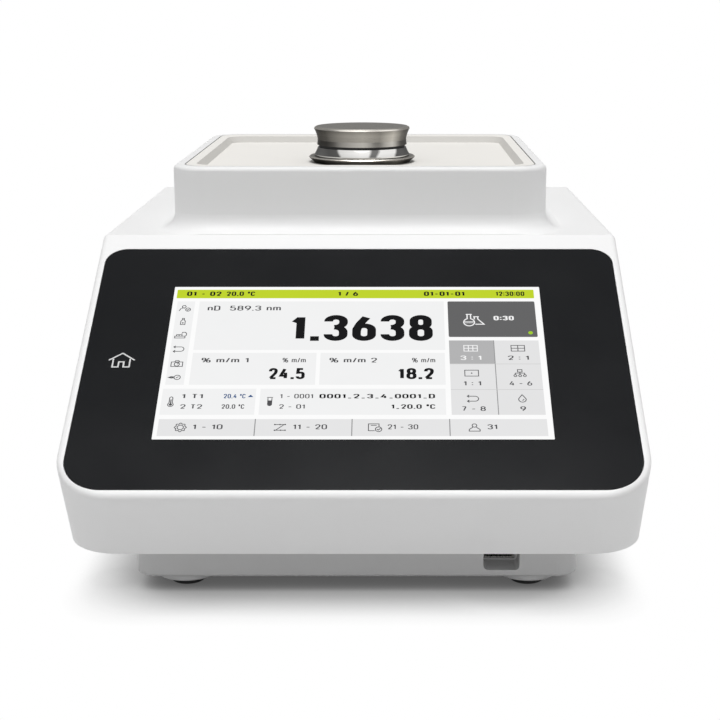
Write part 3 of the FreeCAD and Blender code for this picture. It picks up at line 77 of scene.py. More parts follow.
class Nodes:
    """The node tree of one material, built from its surface shader outward."""

    def __init__(self, name):
        self.material = bpy.data.materials.new(name)
        self.material.use_nodes = True
        self.tree = self.material.node_tree
        self.shader = self.tree.nodes["Principled BSDF"]
        texture = self.add("ShaderNodeTexCoord")
        self.place = texture.outputs["Object"]
        self.facing = texture.outputs["Normal"]

    def add(self, kind, operation=None, **inputs):
        node = self.tree.nodes.new(kind)
        if operation:
            node.operation = operation
        for name, value in inputs.items():
            self.feed(node, name, value)
        return node

    def feed(self, node, name, value):
        socket = node.inputs[name]
        if isinstance(value, bpy.types.NodeSocket):
            self.tree.links.new(value, socket)
        else:
            socket.default_value = value

    def math(self, operation, *values):
        node = self.add("ShaderNodeMath", operation)
        for number, value in enumerate(values):
            self.feed(node, number, value)
        return node.outputs[0]

    def noise(self, scale, detail=2.0, place=None):
        node = self.add("ShaderNodeTexNoise", Scale=scale, Detail=detail, Vector=place or self.place)
        return node.outputs["Fac"]

    def spread(self, value, low, high):
        """A noise value, which stays near its middle, stretched to run from low to high."""
        return self.ranged(value, *NOISE_RANGE, low, high)

    def tint(self, value, colour, contrast):
        """The colour, a little darker and lighter from place to place."""
        ramp = self.add("ShaderNodeValToRGB", Fac=value)
        for end, share in zip(ramp.color_ramp.elements, (1 - contrast, 1 + contrast)):
            end.color = [min(1, part * share) for part in colour] + [1]
        return ramp.outputs["Color"]

    def ranged(self, value, low, high, at_low, at_high):
        """A value run from one level to another between two of its own."""
        node = self.add("ShaderNodeMapRange", Value=value)
        for name, level in (("From Min", low), ("From Max", high), ("To Min", at_low), ("To Max", at_high)):
            self.feed(node, name, level)
        return node.outputs["Result"]

    def by_slope(self, colour, wall, level, edge=0.0, underside_shade=1.0):
        """The colour by shares of painted light and shade: on upright faces, on level ones, and at least so
        much on the slopes between, a painted highlight.

        Faces that lean over have a part of the share of upright ones, as painted shade.
        """
        facing = self.add("ShaderNodeSeparateXYZ", Vector=self.facing).outputs["Z"]
        # Painted highlight: a band of slopes lighter than the faces around it
        rise = self.ranged(facing, *PAINTED_HIGHLIGHT_BEGINS, 0, edge)
        slope = self.math("MINIMUM", rise, self.ranged(facing, *PAINTED_HIGHLIGHT_ENDS, edge, 0))
        share = self.math("MAXIMUM", self.ranged(facing, *UPRIGHT_TO_LEVEL, wall, level), slope)
        # Painted shade on faces that lean over
        share = self.math("MULTIPLY", share, self.ranged(facing, *LEANING_OVER_SHADED, underside_shade, 1))
        tinted = self.add("ShaderNodeVectorMath", "SCALE", Scale=share)
        self.feed(tinted, 0, colour)
        return tinted.outputs["Vector"]

    def bump(self, height, distance):
        node = self.add("ShaderNodeBump", Height=height, Strength=1.0, Distance=distance)
        self.feed(self.shader, "Normal", node.outputs["Normal"])

    def surface(self, **inputs):
        for name, value in inputs.items():
            self.feed(self.shader, name.replace("_", " "), value)
        return self.material


CLOUD_SCALE = 9
GLOSS_SCALE = 70
GLOSS_SWING = 0.04
METAL_GLOSS_SWING = 0.25


def moulded(name, colour, roughness, grain=2600, depth=0.012, specular=0.5, cloud=0.012, walls=1.0):
    """Moulded or painted: fine grain, faint clouding and uneven gloss; walls have a share of the colour, as
    painted shade.
    """
    n = Nodes(name)
    n.bump(n.noise(grain, 3), depth * MM)
    return n.surface(
        Base_Color=n.by_slope(n.tint(n.noise(CLOUD_SCALE), colour, cloud), walls, 1.0),
        Roughness=n.spread(n.noise(GLOSS_SCALE), roughness - GLOSS_SWING, roughness + GLOSS_SWING),
        Specular_IOR_Level=specular,
    )


def metal(name, colour, roughness, place=None, scale=900, depth=0.004, streak=0.10, level=1.0, edge=0.0,
          painted_reflection=None, underside_shade=1.0):
    """Metal whose marks follow the texture place that it is given; level faces have a share of the colour as
    painted shade, and walls, slopes and overhanging faces can take a painted reflection, a painted highlight
    and painted shade.
    """
    n = Nodes(name)
    marks = n.noise(scale, 4, place(n) if place else None)
    # Painted reflection on the walls, when one is given
    wall = painted_reflection(n) if painted_reflection else 1.0
    smooth, rough = roughness * (1 - METAL_GLOSS_SWING), roughness * (1 + METAL_GLOSS_SWING)
    n.bump(marks, depth * MM)
    return n.surface(
        Base_Color=n.by_slope(n.tint(marks, colour, streak), wall, level, edge, underside_shade),
        Roughness=n.spread(marks, smooth, rough),
        Metallic=1.0,
        Specular_Tint=(0.5, 0.5, 0.5, 1),
    )


def turned_about(x, y):
    """Texture place for lathe marks round a vertical line: distance out, and height."""
    def place(n):
        split = n.add("ShaderNodeSeparateXYZ", Vector=n.place)
        across = n.math("SUBTRACT", split.outputs["X"], x)
        along = n.math("SUBTRACT", split.outputs["Y"], y)
        squares = n.math("MULTIPLY", across, across), n.math("MULTIPLY", along, along)
        out = n.math("SQRT", n.math("ADD", *squares))
        return n.add("ShaderNodeCombineXYZ", X=out, Y=split.outputs["Z"]).outputs["Vector"]
    return place


def graded(ramp, levels, turn):
    """A grey ramp over a turn about the front, its levels given at angles in degrees."""
    while len(ramp.elements) < len(levels):
        ramp.elements.new(0.5)
    for element, (angle, level) in zip(ramp.elements, levels):
        element.position = angle / turn + 0.5
        element.color = (level, level, level, 1)


def sheen_about(x, y, levels):
    """Painted reflection: a share of the colour round a turned wall, by the angle right of the front, the
    back like the front.
    """
    def share(n):
        split = n.add("ShaderNodeSeparateXYZ", Vector=n.place)
        across = n.math("SUBTRACT", split.outputs["X"], x)
        toward = n.math("SUBTRACT", y, split.outputs["Y"])
        turn = n.math("MULTIPLY_ADD", n.math("ARCTAN2", across, toward), 1 / math.pi, 0.5)
        ramp = n.add("ShaderNodeValToRGB", Fac=n.math("FRACT", turn))
        graded(ramp.color_ramp, levels, 180)
        return ramp.outputs["Color"]
    return share


BRUSH_STRETCH = 0.02


def drawn_along(axis):
    """Texture place for straight brush marks along an axis."""
    def place(n):
        stretch = [1.0, 1.0, 1.0]
        stretch["XYZ".index(axis)] = BRUSH_STRETCH
        node = n.add("ShaderNodeMapping", Vector=n.place, Scale=stretch)
        return node.outputs["Vector"]
    return place


def clear_glass(name, colour):
    n = Nodes(name)
    return n.surface(
        Base_Color=n.tint(n.noise(40), colour, 0.01),
        Roughness=n.spread(n.noise(300), 0.01, 0.05),
        Transmission_Weight=1.0,
        IOR=1.52,
    )


def printed_glass(name):
    """Glass printed black on its back: deep black with a soft, faintly uneven gloss."""
    n = Nodes(name)
    return n.surface(
        Base_Color=n.tint(n.noise(14), (0.0078, 0.0084, 0.0096), 0.06),
        Roughness=n.spread(n.noise(24, 4), 0.20, 0.26),
        Specular_IOR_Level=0.12,
    )


def lit(name, colour):
    """A colour that the screen shows: black, and it gives light of its own."""
    n = Nodes(name)
    return n.surface(
        Base_Color=(0, 0, 0, 1),
        Emission_Color=n.tint(n.noise(120), colour, 0.01),
        Emission_Strength=1.0,
        Roughness=0.5,
        Specular_IOR_Level=0.0,
    )


LID_AXIS = ((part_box("lid_cap")[0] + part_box("lid_cap")[1]) / 2).to_tuple()[:2]

# Painted reflections, as shares of the colour round the lid's brushed wall and its polished skirt: angle in
# degrees, share
LID_WALL_PAINTED_REFLECTION = ((-90, 0.1), (-50, 0.17), (-20, 0.52), (2, 0.72), (24, 0.5), (43, 1.0), (60, 0.36), (90, 0.1))
SKIRT_PAINTED_REFLECTION = ((-90, 0.3), (-45, 0.6), (0, 1.0), (50, 0.9), (90, 0.3))

# A finish for each slot of the record
FINISHES = {
    "housing_white": moulded("housing_white", (0.86, 0.86, 0.86), 0.45, specular=0.3),
    # Plate: painted shade, its upright walls darker than its level faces
    "plate_white": moulded("plate_white", (0.84, 0.822, 0.785), 0.5, specular=0.15, walls=0.66),
    "base_grey": moulded("base_grey", (0.72, 0.72, 0.72), 0.5),
    "cover_glass": printed_glass("cover_glass"),
    # Brushed steel: painted shade on its top and undersides, a painted highlight on the slopes of its rims, a
    # painted reflection round its wall
    "brushed_steel": metal(
        "brushed_steel", (0.60, 0.575, 0.53), 0.34, turned_about(*LID_AXIS), scale=5200, depth=0.006,
        streak=0.16, level=0.84, edge=1.6, painted_reflection=sheen_about(*LID_AXIS, LID_WALL_PAINTED_REFLECTION), underside_shade=0.5,
    ),
    # Polished steel: painted shade on its level faces, a painted reflection round its skirt
    "polished_steel": metal(
        "polished_steel", (0.90, 0.89, 0.87), 0.06, turned_about(*LID_AXIS), scale=3000, depth=0.001,
        streak=0.04, level=0.5, painted_reflection=sheen_about(*LID_AXIS, SKIRT_PAINTED_REFLECTION),
    ),
    "black_rubber": moulded("black_rubber", (0.022, 0.022, 0.023), 0.75, grain=1800, depth=0.03),
    "foot_grey": moulded("foot_grey", (0.72, 0.72, 0.72), 0.5),
    "black_plastic": moulded("black_plastic", (0.028, 0.028, 0.03), 0.45, grain=1500, depth=0.03),
    "panel_metal": moulded("panel_metal", (0.62, 0.62, 0.62), 0.55, grain=3400, depth=0.04),
    "bare_aluminium": metal("bare_aluminium", (0.68, 0.68, 0.70), 0.34, drawn_along("Y"), scale=1600),
    "anodised_black": moulded("anodised_black", (0.03, 0.03, 0.032), 0.38, grain=3000, depth=0.01),
    "zinc_steel": metal("zinc_steel", (0.62, 0.62, 0.60), 0.3, scale=260),
    "circuit_green": moulded("circuit_green", (0.025, 0.16, 0.06), 0.3, grain=1400, depth=0.01, cloud=0.08),
    "chip_black": moulded("chip_black", (0.03, 0.03, 0.03), 0.5, grain=2400, depth=0.02),
    "optical_glass": clear_glass("optical_glass", (0.93, 0.96, 0.98)),
    "ceramic_white": moulded("ceramic_white", (0.86, 0.86, 0.84), 0.35, grain=1200, depth=0.01),
    "brass": metal("brass", (0.70, 0.50, 0.22), 0.25, scale=700),
    "port_metal": metal("port_metal", (0.62, 0.61, 0.59), 0.28, drawn_along("Z"), scale=1800),
}

for part in frame["record"]["subparts"]:
    node = frame["nodes"][part["node"]]
    node.data.materials.clear()
    node.data.materials.append(FINISHES[part["material_slot"]])


# Flat prints: polygons laid out in millimetres on a plane

def arc(x, y, radius, start, end, steps):
    """Points along an arc, angles in degrees anticlockwise from the right."""
    points = []
    for step in range(steps + 1):
        angle = math.radians(start + (end - start) * step / steps)
        points.append((x + radius * math.cos(angle), y + radius * math.sin(angle)))
    return points


BOX_CORNER_STEPS = 5


def rounded_box(left, low, right, high, radius):
    points = []
    for x, y, start in (
        (right - radius, low + radius, -90),
        (right - radius, high - radius, 0),
        (left + radius, high - radius, 90),
        (left + radius, low + radius, 180),
    ):
        points += arc(x, y, radius, start, start + 90, BOX_CORNER_STEPS)
    return points


# A softened corner's pull on its bend, the steps round it, and how near points are one
CORNER_PULL = 0.72
CORNER_STEPS = 6
SAME_POINT = 1e-6


def softened(points, closed):
    """The corners (x, y, roundness from 0 to 1) as a plain path, each cut back and bent round."""
    path = []
    count = len(points)
    for number, (x, y, turn) in enumerate(points):
        corner = Vector((x, y))
        if turn == 0 or (not closed and number in (0, count - 1)):
            path.append(corner)
            continue
        before = Vector(points[number - 1][:2]) - corner
        after = Vector(points[(number + 1) % count][:2]) - corner
        first = not closed and number == 1
        last = not closed and number == count - 2
        cut = turn * min(before.length * (1 if first else 0.5), after.length * (1 if last else 0.5))
        start, end = corner + before.normalized() * cut, corner + after.normalized() * cut
        for step in range(CORNER_STEPS + 1):
            share = step / CORNER_STEPS
            at_start, at_end = (1 - share) ** 2, share ** 2
            at_corner = 2 * share * (1 - share)
            bent = start * at_start + corner * at_corner * CORNER_PULL + end * at_end
            path.append(bent / (at_start + at_corner * CORNER_PULL + at_end))
    return [point for number, point in enumerate(path)
            if number == 0 or (point - path[number - 1]).length > SAME_POINT]


# Figures: a glyph's width as a share of its height, then its strokes; each corner is its place
# across and up the glyph and how round it is. Upright strokes are broader than level ones.

def stroke(*corners, closed=False):
    return closed, [corner if len(corner) == 3 else corner + (0,) for corner in corners]


def bowl(low, high, left=0.0, right=1.0):
    return stroke((left, low, 1), (right, low, 1), (right, high, 1), (left, high, 1), closed=True)


GLYPH_SPACE = 0.12
BROAD_STEMS = 1.3

# Feet of the square dots in a glyph
DOTS = {".": (0.0,), ":": (0.12, 0.6)}
GLYPHS = {
    ".": (0, []),
    ":": (0, []),
    " ": (0.3, []),
    "0": (0.62, [bowl(0, 1)]),
    "1": (0.4, [stroke((0.82, 1), (0.82, 0)), stroke((0.0, 0.74), (0.7, 0.92))]),
    "2": (0.6, [stroke((0, 0.74), (0, 1, 1), (1, 1, 1), (1, 0.6, 0.7), (0.06, 0.03)),
                stroke((0, 0), (1, 0))]),
    "3": (0.62, [stroke((0, 0.8), (0, 1, 1), (1, 1, 1), (1, 0.53, 1), (0.4, 0.53)),
                 stroke((0.4, 0.53), (1, 0.53, 1), (1, 0, 1), (0, 0, 1), (0, 0.2))]),
    "4": (0.66, [stroke((0.56, 1), (0, 0.27), (1, 0.27)), stroke((0.72, 0.6), (0.72, 0))]),
    "5": (0.61, [stroke((0.94, 1), (0.1, 1), (0.05, 0.58), (1, 0.62, 1), (1, 0, 1), (0, 0, 1), (0, 0.2))]),
    "6": (0.62, [bowl(0, 0.6), stroke((0, 0.3), (0.04, 0.56, 0.8), (0.64, 1))]),
    "7": (0.58, [stroke((0, 1), (1, 1)), stroke((0.95, 0.97), (0.36, 0.03))]),
    "8": (0.62, [bowl(0, 0.53), bowl(0.53, 1, 0.05, 0.95)]),
    "9": (0.62, [bowl(0.4, 1), stroke((1, 0.7), (0.96, 0.44, 0.8), (0.36, 0))]),
    "-": (0.5, [stroke((0, 0.42), (1, 0.42))]),
    "T": (0.6, [stroke((0, 1), (1, 1)), stroke((0.5, 1), (0.5, 0))]),
    "_": (0.5, [stroke((0, -0.02), (1, -0.02))]),
    "/": (0.4, [stroke((0, 0), (1, 1))]),
    "%": (0.9, [bowl(0.52, 1, 0, 0.4), bowl(0, 0.48, 0.6, 1), stroke((0.14, 0), (0.86, 1))]),
    "°": (0.3, [bowl(0.66, 1)]),
    "C": (0.6, [stroke((1, 0.76), (1, 1, 1), (0, 1, 1), (0, 0, 1), (1, 0, 1), (1, 0.24))]),
    "D": (0.62, [stroke((0, 0), (1, 0, 1), (1, 1, 1), (0, 1), closed=True)]),
    "I": (0.16, [stroke((0.5, 0), (0.5, 1))]),
    "m": (0.78, [stroke((0, 0), (0, 0.72)), stroke((0, 0.5), (0, 0.72, 1), (0.5, 0.72, 1), (0.5, 0)),
                 stroke((0.5, 0.5), (0.5, 0.72, 1), (1, 0.72, 1), (1, 0))]),
    "n": (0.52, [stroke((0, 0), (0, 0.72)), stroke((0, 0.46), (0, 0.72, 1), (1, 0.72, 1), (1, 0))]),
}


# Thickness of a print, steps round a circle, and half a line's width as a share of its longest mitre
PRINT_THICKNESS = 0.02
ROUND_STEPS = 24
MITRE_LIMIT = 0.4


class Print:
    """One colour of a flat print, gathered as polygons and built as one thin piece."""

    def __init__(self, origin, across, up):
        self.origin = origin
        self.across = across
        self.up = up
        self.out = across.cross(up)
        self.polygons = []

    def area(self, points):
        self.polygons.append(list(points))

    def box(self, left, low, right, high):
        self.area([(left, low), (right, low), (right, high), (left, high)])

    def disc(self, x, y, radius):
        self.area(arc(x, y, radius, 0, 360, ROUND_STEPS)[:-1])

    def line(self, points, width, closed=False):
        """A line of even width with mitred corners."""
        points = [Vector(point) for point in points]
        count = len(points)
        left, right = [], []
        for number, point in enumerate(points):
            before = points[number - 1] if closed or number else None
            after = points[(number + 1) % count] if closed or number < count - 1 else None
            ways = []
            if before is not None:
                ways.append((point - before).normalized())
            if after is not None:
                ways.append((after - point).normalized())
            way = sum(ways, Vector((0, 0))).normalized()
            side = Vector((-way.y, way.x))
            reach = width / 2 / max(MITRE_LIMIT, side.dot(Vector((-ways[0].y, ways[0].x))))
            left.append(point + side * reach)
            right.append(point - side * reach)
        runs = count if closed else count - 1
        for number in range(runs):
            after = (number + 1) % count
            self.area([right[number], right[after], left[after], left[number]])

    def ring(self, x, y, radius, width):
        self.line(arc(x, y, radius, 0, 360, ROUND_STEPS)[:-1], width, closed=True)

    def figures(self, text, x, y, height, width, weight, centred=False):
        """Plain figures and units on a foot line, of a cap height, drawn out to a width if one is given."""
        plain = Print(self.origin, self.across, self.up)
        left = 0
        for sign in text:
            share, strokes = GLYPHS[sign]
            share = share / BROAD_STEMS
            for closed, corners in strokes:
                points = [(left + weight / 2 + px * (share - weight), weight / 2 + py * (1 - weight), turn)
                          for px, py, turn in corners]
                plain.line(softened(points, closed), weight, closed)
            for dot in DOTS.get(sign, ()):
                plain.box(left, dot, left + weight, dot + weight)
            left += (share or weight) + GLYPH_SPACE / BROAD_STEMS
        natural = (left - GLYPH_SPACE / BROAD_STEMS) * height
        stretch = width / natural if width else BROAD_STEMS
        start = x - natural * stretch / 2 if centred else x
        for polygon in plain.polygons:
            self.area([(start + px * height * stretch, y + py * height) for px, py in polygon])

    def build(self, name, finish, lift, body="instrument"):
        """The piece, its back at the given lift off the plane, riding on a body."""
        mesh = bmesh.new()
        for polygon in self.polygons:
            top, foot = [], []
            for x, y in polygon:
                place = self.origin + (self.across * x + self.up * y + self.out * lift) * MM
                foot.append(mesh.verts.new(place))
                top.append(mesh.verts.new(place + self.out * PRINT_THICKNESS * MM))
            face = mesh.faces.new(top)
            face.normal_update()
            if face.normal.dot(self.out) < 0:
                face.normal_flip()
            for number in range(len(top)):
                after = (number + 1) % len(top)
                mesh.faces.new((foot[number], foot[after], top[after], top[number]))
        data = bpy.data.meshes.new(name)
        mesh.to_mesh(data)
        mesh.free()
        data.materials.append(finish)
        piece = bpy.data.objects.new(name, data)
        bpy.context.scene.collection.objects.link(piece)
        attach(piece, body)


def on_screen():
    """A print in the plane of the lit picture, from the middle of its lower edge."""
    return Print(SCREEN_EDGE, Vector((1, 0, 0)), UP_PANEL)


# Signs: each draws itself round a point, at a scale of half its height in millimetres

def scaled(points, x, y, size):
    return [(x + px * size, y + py * size) for px, py in points]


def sign(layer, x, y, size, width, *lines):
    for points in lines:
        closed = points[0] == points[-1]
        layer.line(scaled(points[:-1] if closed else points, x, y, size), width, closed)


def person(layer, x, y, size, width):
    layer.ring(x, y + 0.45 * size, 0.4 * size, width)
    sign(layer, x, y, size, width,
         [(-0.3, 0.05), (-0.95, -0.5), (-0.95, -0.9), (0.95, -0.9), (0.95, -0.5), (0.3, 0.05)])


def ticked_person(layer, x, y, size, width):
    layer.ring(x - 0.2 * size, y + 0.5 * size, 0.38 * size, width)
    sign(layer, x, y, size, width,
         [(-1.15, -0.8), (-0.85, -0.1), (-0.4, 0.1), (0.0, 0.02)],
         [(0.42, -0.38), (0.62, -0.6), (0.95, -0.2)])
    layer.ring(x + 0.68 * size, y - 0.4 * size, 0.5 * size, width)


def bottle(layer, x, y, size, width):
    sign(layer, x, y, size, width,
         [(-0.45, -0.95), (0.45, -0.95), (0.45, 0.1), (0.2, 0.5), (-0.2, 0.5), (-0.45, 0.1), (-0.45, -0.95)],
         [(-0.2, 0.5), (-0.2, 0.95), (0.2, 0.95), (0.2, 0.5)],
         [(-0.18, -0.45), (0.18, -0.45)], [(0.0, -0.2), (0.0, -0.7)])


def bench(layer, x, y, size, width):
    sign(layer, x, y, size, width,
         [(-1.25, -0.85), (0.85, -0.85), (0.85, -0.3), (-1.25, -0.3), (-1.25, -0.85)],
         [(-0.9, -0.3), (-0.9, 0.15), (0.2, 0.15), (0.2, -0.3)],
         [(-0.4, 0.15), (-0.4, -0.3)],
         [(0.1, 0.45), (0.3, 0.85), (0.85, 0.85), (1.1, 0.45), (1.1, 0.0), (0.85, -0.3)])


def loop_arrow(layer, x, y, size, width):
    turn = [(-1.1, 0.6), (0.35, 0.6)] + arc(0.35, -0.05, 0.65, 80, -80, 8) + [(0.35, -0.7), (-1.1, -0.7)]
    sign(layer, x, y, size, width, turn)
    for level in (0.6, -0.7):
        sign(layer, x, y, size, width, [(-0.75, level + 0.32), (-1.12, level), (-0.75, level - 0.32)])


def case(layer, x, y, size, width):
    sign(layer, x, y, size, width,
         [(-1.15, -0.8), (1.15, -0.8), (1.15, 0.5), (-1.15, 0.5), (-1.15, -0.8)],
         [(-0.5, 0.5), (-0.3, 0.9), (0.3, 0.9), (0.5, 0.5)],
         [(0.0, -0.15), (0.3, 0.15)])
    layer.ring(x, y - 0.15 * size, 0.52 * size, width)


def lens(layer, x, y, size, width):
    layer.ring(x + 0.45 * size, y, 0.62 * size, width)
    sign(layer, x, y, size, width,
         [(-0.2, 0.14), (-0.75, 0.22), (-1.3, 0.0), (-0.75, -0.22), (-0.2, -0.14)],
         [(-1.3, 0.0), (-0.3, 0.0)], [(0.2, -0.2), (0.7, 0.2)])


def cog(layer, x, y, size, width):
    points = []
    steps, teeth = 48, 8
    for step in range(steps):
        angle = math.radians(step * 360 / steps)
        reach = 0.86 + 0.11 * math.cos(teeth * angle)
        points.append((reach * math.cos(angle), reach * math.sin(angle)))
    sign(layer, x, y, size, width, points + points[:1])
    layer.ring(x, y, 0.5 * size, width)


def route(layer, x, y, size, width):
    sign(layer, x, y, size, width, [(-0.95, 0.75), (0.8, 0.75), (-0.8, -0.75), (0.95, -0.75)])
    for px, py in ((-1.0, 0.75), (0.0, 0.75), (1.0, 0.75), (-1.0, -0.75), (0.2, -0.75), (1.05, -0.75)):
        layer.disc(x + px * size, y + py * size, 0.17 * size)


def ticked_sheet(layer, x, y, size, width):
    sign(layer, x, y, size, width,
         [(0.75, 0.0), (0.75, 0.85), (-1.1, 0.85), (-1.1, -0.8), (0.0, -0.8)],
         [(0.38, -0.42), (0.6, -0.66), (1.05, -0.2)], [(-0.7, 0.5), (0.35, 0.5)])
    layer.ring(x + 0.68 * size, y - 0.45 * size, 0.56 * size, width)


def table_sign(rows, columns):
    """A grid of cells; a single cell has a dot in it."""
    def draw(layer, x, y, size, width):
        wide, high = 1.3, 0.8
        border = [(-wide, -high), (wide, -high), (wide, high), (-wide, high), (-wide, -high)]
        sign(layer, x, y, size, width, border)
        for row in range(1, rows):
            level = -high + 2 * high * row / rows
            sign(layer, x, y, size, width, [(-wide, level), (wide, level)])
        for column in range(1, columns):
            across = -wide + 2 * wide * column / columns
            sign(layer, x, y, size, width, [(across, -high), (across, high)])
        if rows == columns == 1:
            layer.disc(x, y, 0.16 * size)
    return draw


def tree(layer, x, y, size, width):
    box = [(-0.42, 0.3), (0.42, 0.3), (0.42, 0.95), (-0.42, 0.95), (-0.42, 0.3)]
    sign(layer, x, y, size, width, box,
         [(0, 0.3), (0, -0.4)],
         [(-0.9, -0.4), (-0.9, 0.0), (0.9, 0.0), (0.9, -0.4)])
    for across in (-0.9, 0.0, 0.9):
        layer.ring(x + across * size, y - 0.68 * size, 0.27 * size, width)


def drop(layer, x, y, size, width):
    outline = [(0.0, 1.0)] + arc(0, -0.25, 0.7, 25, -205, 16)
    sign(layer, x, y, size, width, outline + outline[:1])
    sign(layer, x, y, size, width, [(0.0, -0.55), (0.35, -0.15)])


def thermometer(layer, x, y, size, width):
    tube = arc(0, 0.75, 0.24, 0, 180, 6) + arc(0, -0.62, 0.42, 125, 415, 12)
    sign(layer, x, y, size, width, tube + tube[:1])
    layer.disc(x, y - 0.62 * size, 0.24 * size)
    sign(layer, x, y, size, width * 1.3, [(0, -0.5), (0, 0.45)])


def test_tube(layer, x, y, size, width):
    tube = [(0.3, 0.7)] + arc(0, -0.6, 0.3, 0, -180, 8) + [(-0.3, 0.7)]
    sign(layer, x, y, size, width, tube, [(-0.45, 0.85), (0.45, 0.85)])
    layer.area(scaled([(0.26, 0.2)] + arc(0, -0.6, 0.26, 0, -180, 8) + [(-0.26, 0.2)], x, y, size))


def flasks(layer, x, y, size, width):
    sign(layer, x, y, size, width,
         [(-0.6, 0.95), (-0.6, 0.22)] + arc(-0.4, -0.38, 0.62, 112, 428, 18) + [(-0.2, 0.22), (-0.2, 0.95)],
         [(-0.75, 0.95), (-0.05, 0.95)],
         [(0.22, 0.55), (0.22, 0.12)],
         [(0.62, 0.55), (0.62, 0.15), (1.3, -0.72), (0.3, -0.72)],
         [(0.1, 0.55), (0.75, 0.55)])
    sign(layer, x, y, size, width * 0.6, [(-0.98, -0.28), (0.16, -0.28)], [(-0.9, -0.48), (0.08, -0.48)])


def house(layer, x, y, size, width):
    sign(layer, x, y, size, width,
         [(-1.3, 0.0), (0.0, 1.0), (1.3, 0.0)],
         [(-0.85, 0.2), (-0.85, -0.98), (-0.26, -0.98), (-0.26, -0.25), (0.26, -0.25), (0.26, -0.98),
          (0.85, -0.98), (0.85, 0.2)])


# Screen picture, in millimetres across and up from the middle of its lower edge

SCREEN_HALF, SCREEN_HIGH = 77.2, 88.2
WHITE = (0.975, 0.975, 0.975)
TILE = (0.884, 0.887, 0.89)
MENU = (0.79, 0.79, 0.795)
CELL = (0.775, 0.775, 0.78)
CHOSEN = (0.455, 0.455, 0.46)
BUTTON = (0.132, 0.132, 0.134)
GREEN = (0.53, 0.665, 0.030)
LAMP_GREEN = (0.36, 0.62, 0.03)
INK = (0.012, 0.012, 0.013)
SOFT_INK = (0.085, 0.085, 0.09)
BLUE_INK = (0.03, 0.09, 0.24)
PALE_INK = (0.93, 0.93, 0.93)
DIVIDER = (0.30, 0.30, 0.305)
FAINT = (0.60, 0.60, 0.60)

# How far the back of each layer lies off its plane
ON_SURFACE = 0.01
BACKGROUND_LIFT = 0.02
FIELD_LIFT = 0.05
MARK_LIFT = 0.08
RULE_LIFT = 0.11
INK_LIFT = 0.14

# Line width of the signs, and weights of the figures' strokes as a share of their height
LINE = 0.35
FINE, MIDDLE, BOLD, HEAVY = 0.125, 0.15, 0.17, 0.175


def fields(name, finish, colour, lift, *boxes, radius=0):
    """Filled boxes of one colour, each given by its left, lower, right and upper edge."""
    layer = on_screen()
    for box in boxes:
        if radius:
            layer.area(rounded_box(*box, radius))
        else:
            layer.box(*box)
    layer.build(name, lit(finish, colour), lift)


fields("screen_background", "screen_white", WHITE, BACKGROUND_LIFT,
       (-SCREEN_HALF, 0, SCREEN_HALF, SCREEN_HIGH), radius=0.3)
fields("screen_header", "screen_green", GREEN, FIELD_LIFT,
       (-75.9, 81.0, 74.7, 86.4), radius=0.4)
fields("screen_tiles", "screen_tile", TILE, FIELD_LIFT,
       (-75.2, 29.5, -67.8, 79.0),
       (-65.9, 49.5, 36.5, 79.0),
       (-65.8, 29.5, -15.7, 47.8),
       (-14.1, 29.5, 36.2, 47.8),
       (-75.7, 13.0, -38.8, 27.3),
       (-37.1, 13.0, 36.0, 27.3))
fields("screen_menu", "screen_menu", MENU, FIELD_LIFT,
       (-75.5, 1.7, 74.9, 10.7))
fields("screen_cells", "screen_cell", CELL, FIELD_LIFT,
       (38.1, 13.0, 74.7, 55.1))
fields("screen_chosen_cell", "screen_chosen", CHOSEN, MARK_LIFT,
       (38.1, 41.5, 56.2, 55.1))
fields("screen_dividers", "screen_divider", DIVIDER, RULE_LIFT,
       (-38.3, 1.7, -37.9, 10.7),
       (-0.8, 1.7, -0.4, 10.7),
       (37.0, 1.7, 37.4, 10.7),
       (56.2, 13.0, 56.55, 55.1))
fields("screen_faint_lines", "screen_faint_line", FAINT, RULE_LIFT,
       (38.1, 41.18, 74.7, 41.42),
       (38.1, 26.68, 74.7, 26.92))
fields("screen_button", "screen_button", BUTTON, FIELD_LIFT,
       (38.1, 57.2, 74.6, 79.0), radius=0.6)

lamp = on_screen()
lamp.disc(71.8, 59.7, 0.95)
lamp.build("screen_lamp", lit("screen_lamp_green", LAMP_GREEN), MARK_LIFT)

# Rows of figures: text, left end, foot, height, width, weight

ink = on_screen()
for row in (
    ("1.3638", -26.9, 54.8, 15.6, 58.5, HEAVY),
    ("24.5", -34.4, 32.6, 6.3, 14.4, HEAVY),
    ("18.2", 17.2, 32.6, 6.3, 14.4, HEAVY),
    ("01 - 02", -71.7, 82.4, 2.7, 14.5, BOLD),
    ("20.0 °C", -55.0, 82.4, 2.7, 12.0, BOLD),
    ("1 / 6", -8.0, 82.4, 2.7, 8.5, BOLD),
    ("01-01-01", 28.3, 82.4, 2.7, 17.2, BOLD),
    ("12:30:00", 58.6, 82.4, 2.7, 12.1, BOLD),
    ("0001_2_3_4_0001_D", -13.7, 21.9, 2.4, 45.5, MIDDLE),
    ("1_20.0 °C", 14.5, 16.2, 2.4, 17.3, MIDDLE),
):
    ink.figures(*row)
ink.build("screen_bold_figures", lit("screen_ink", INK), INK_LIFT)

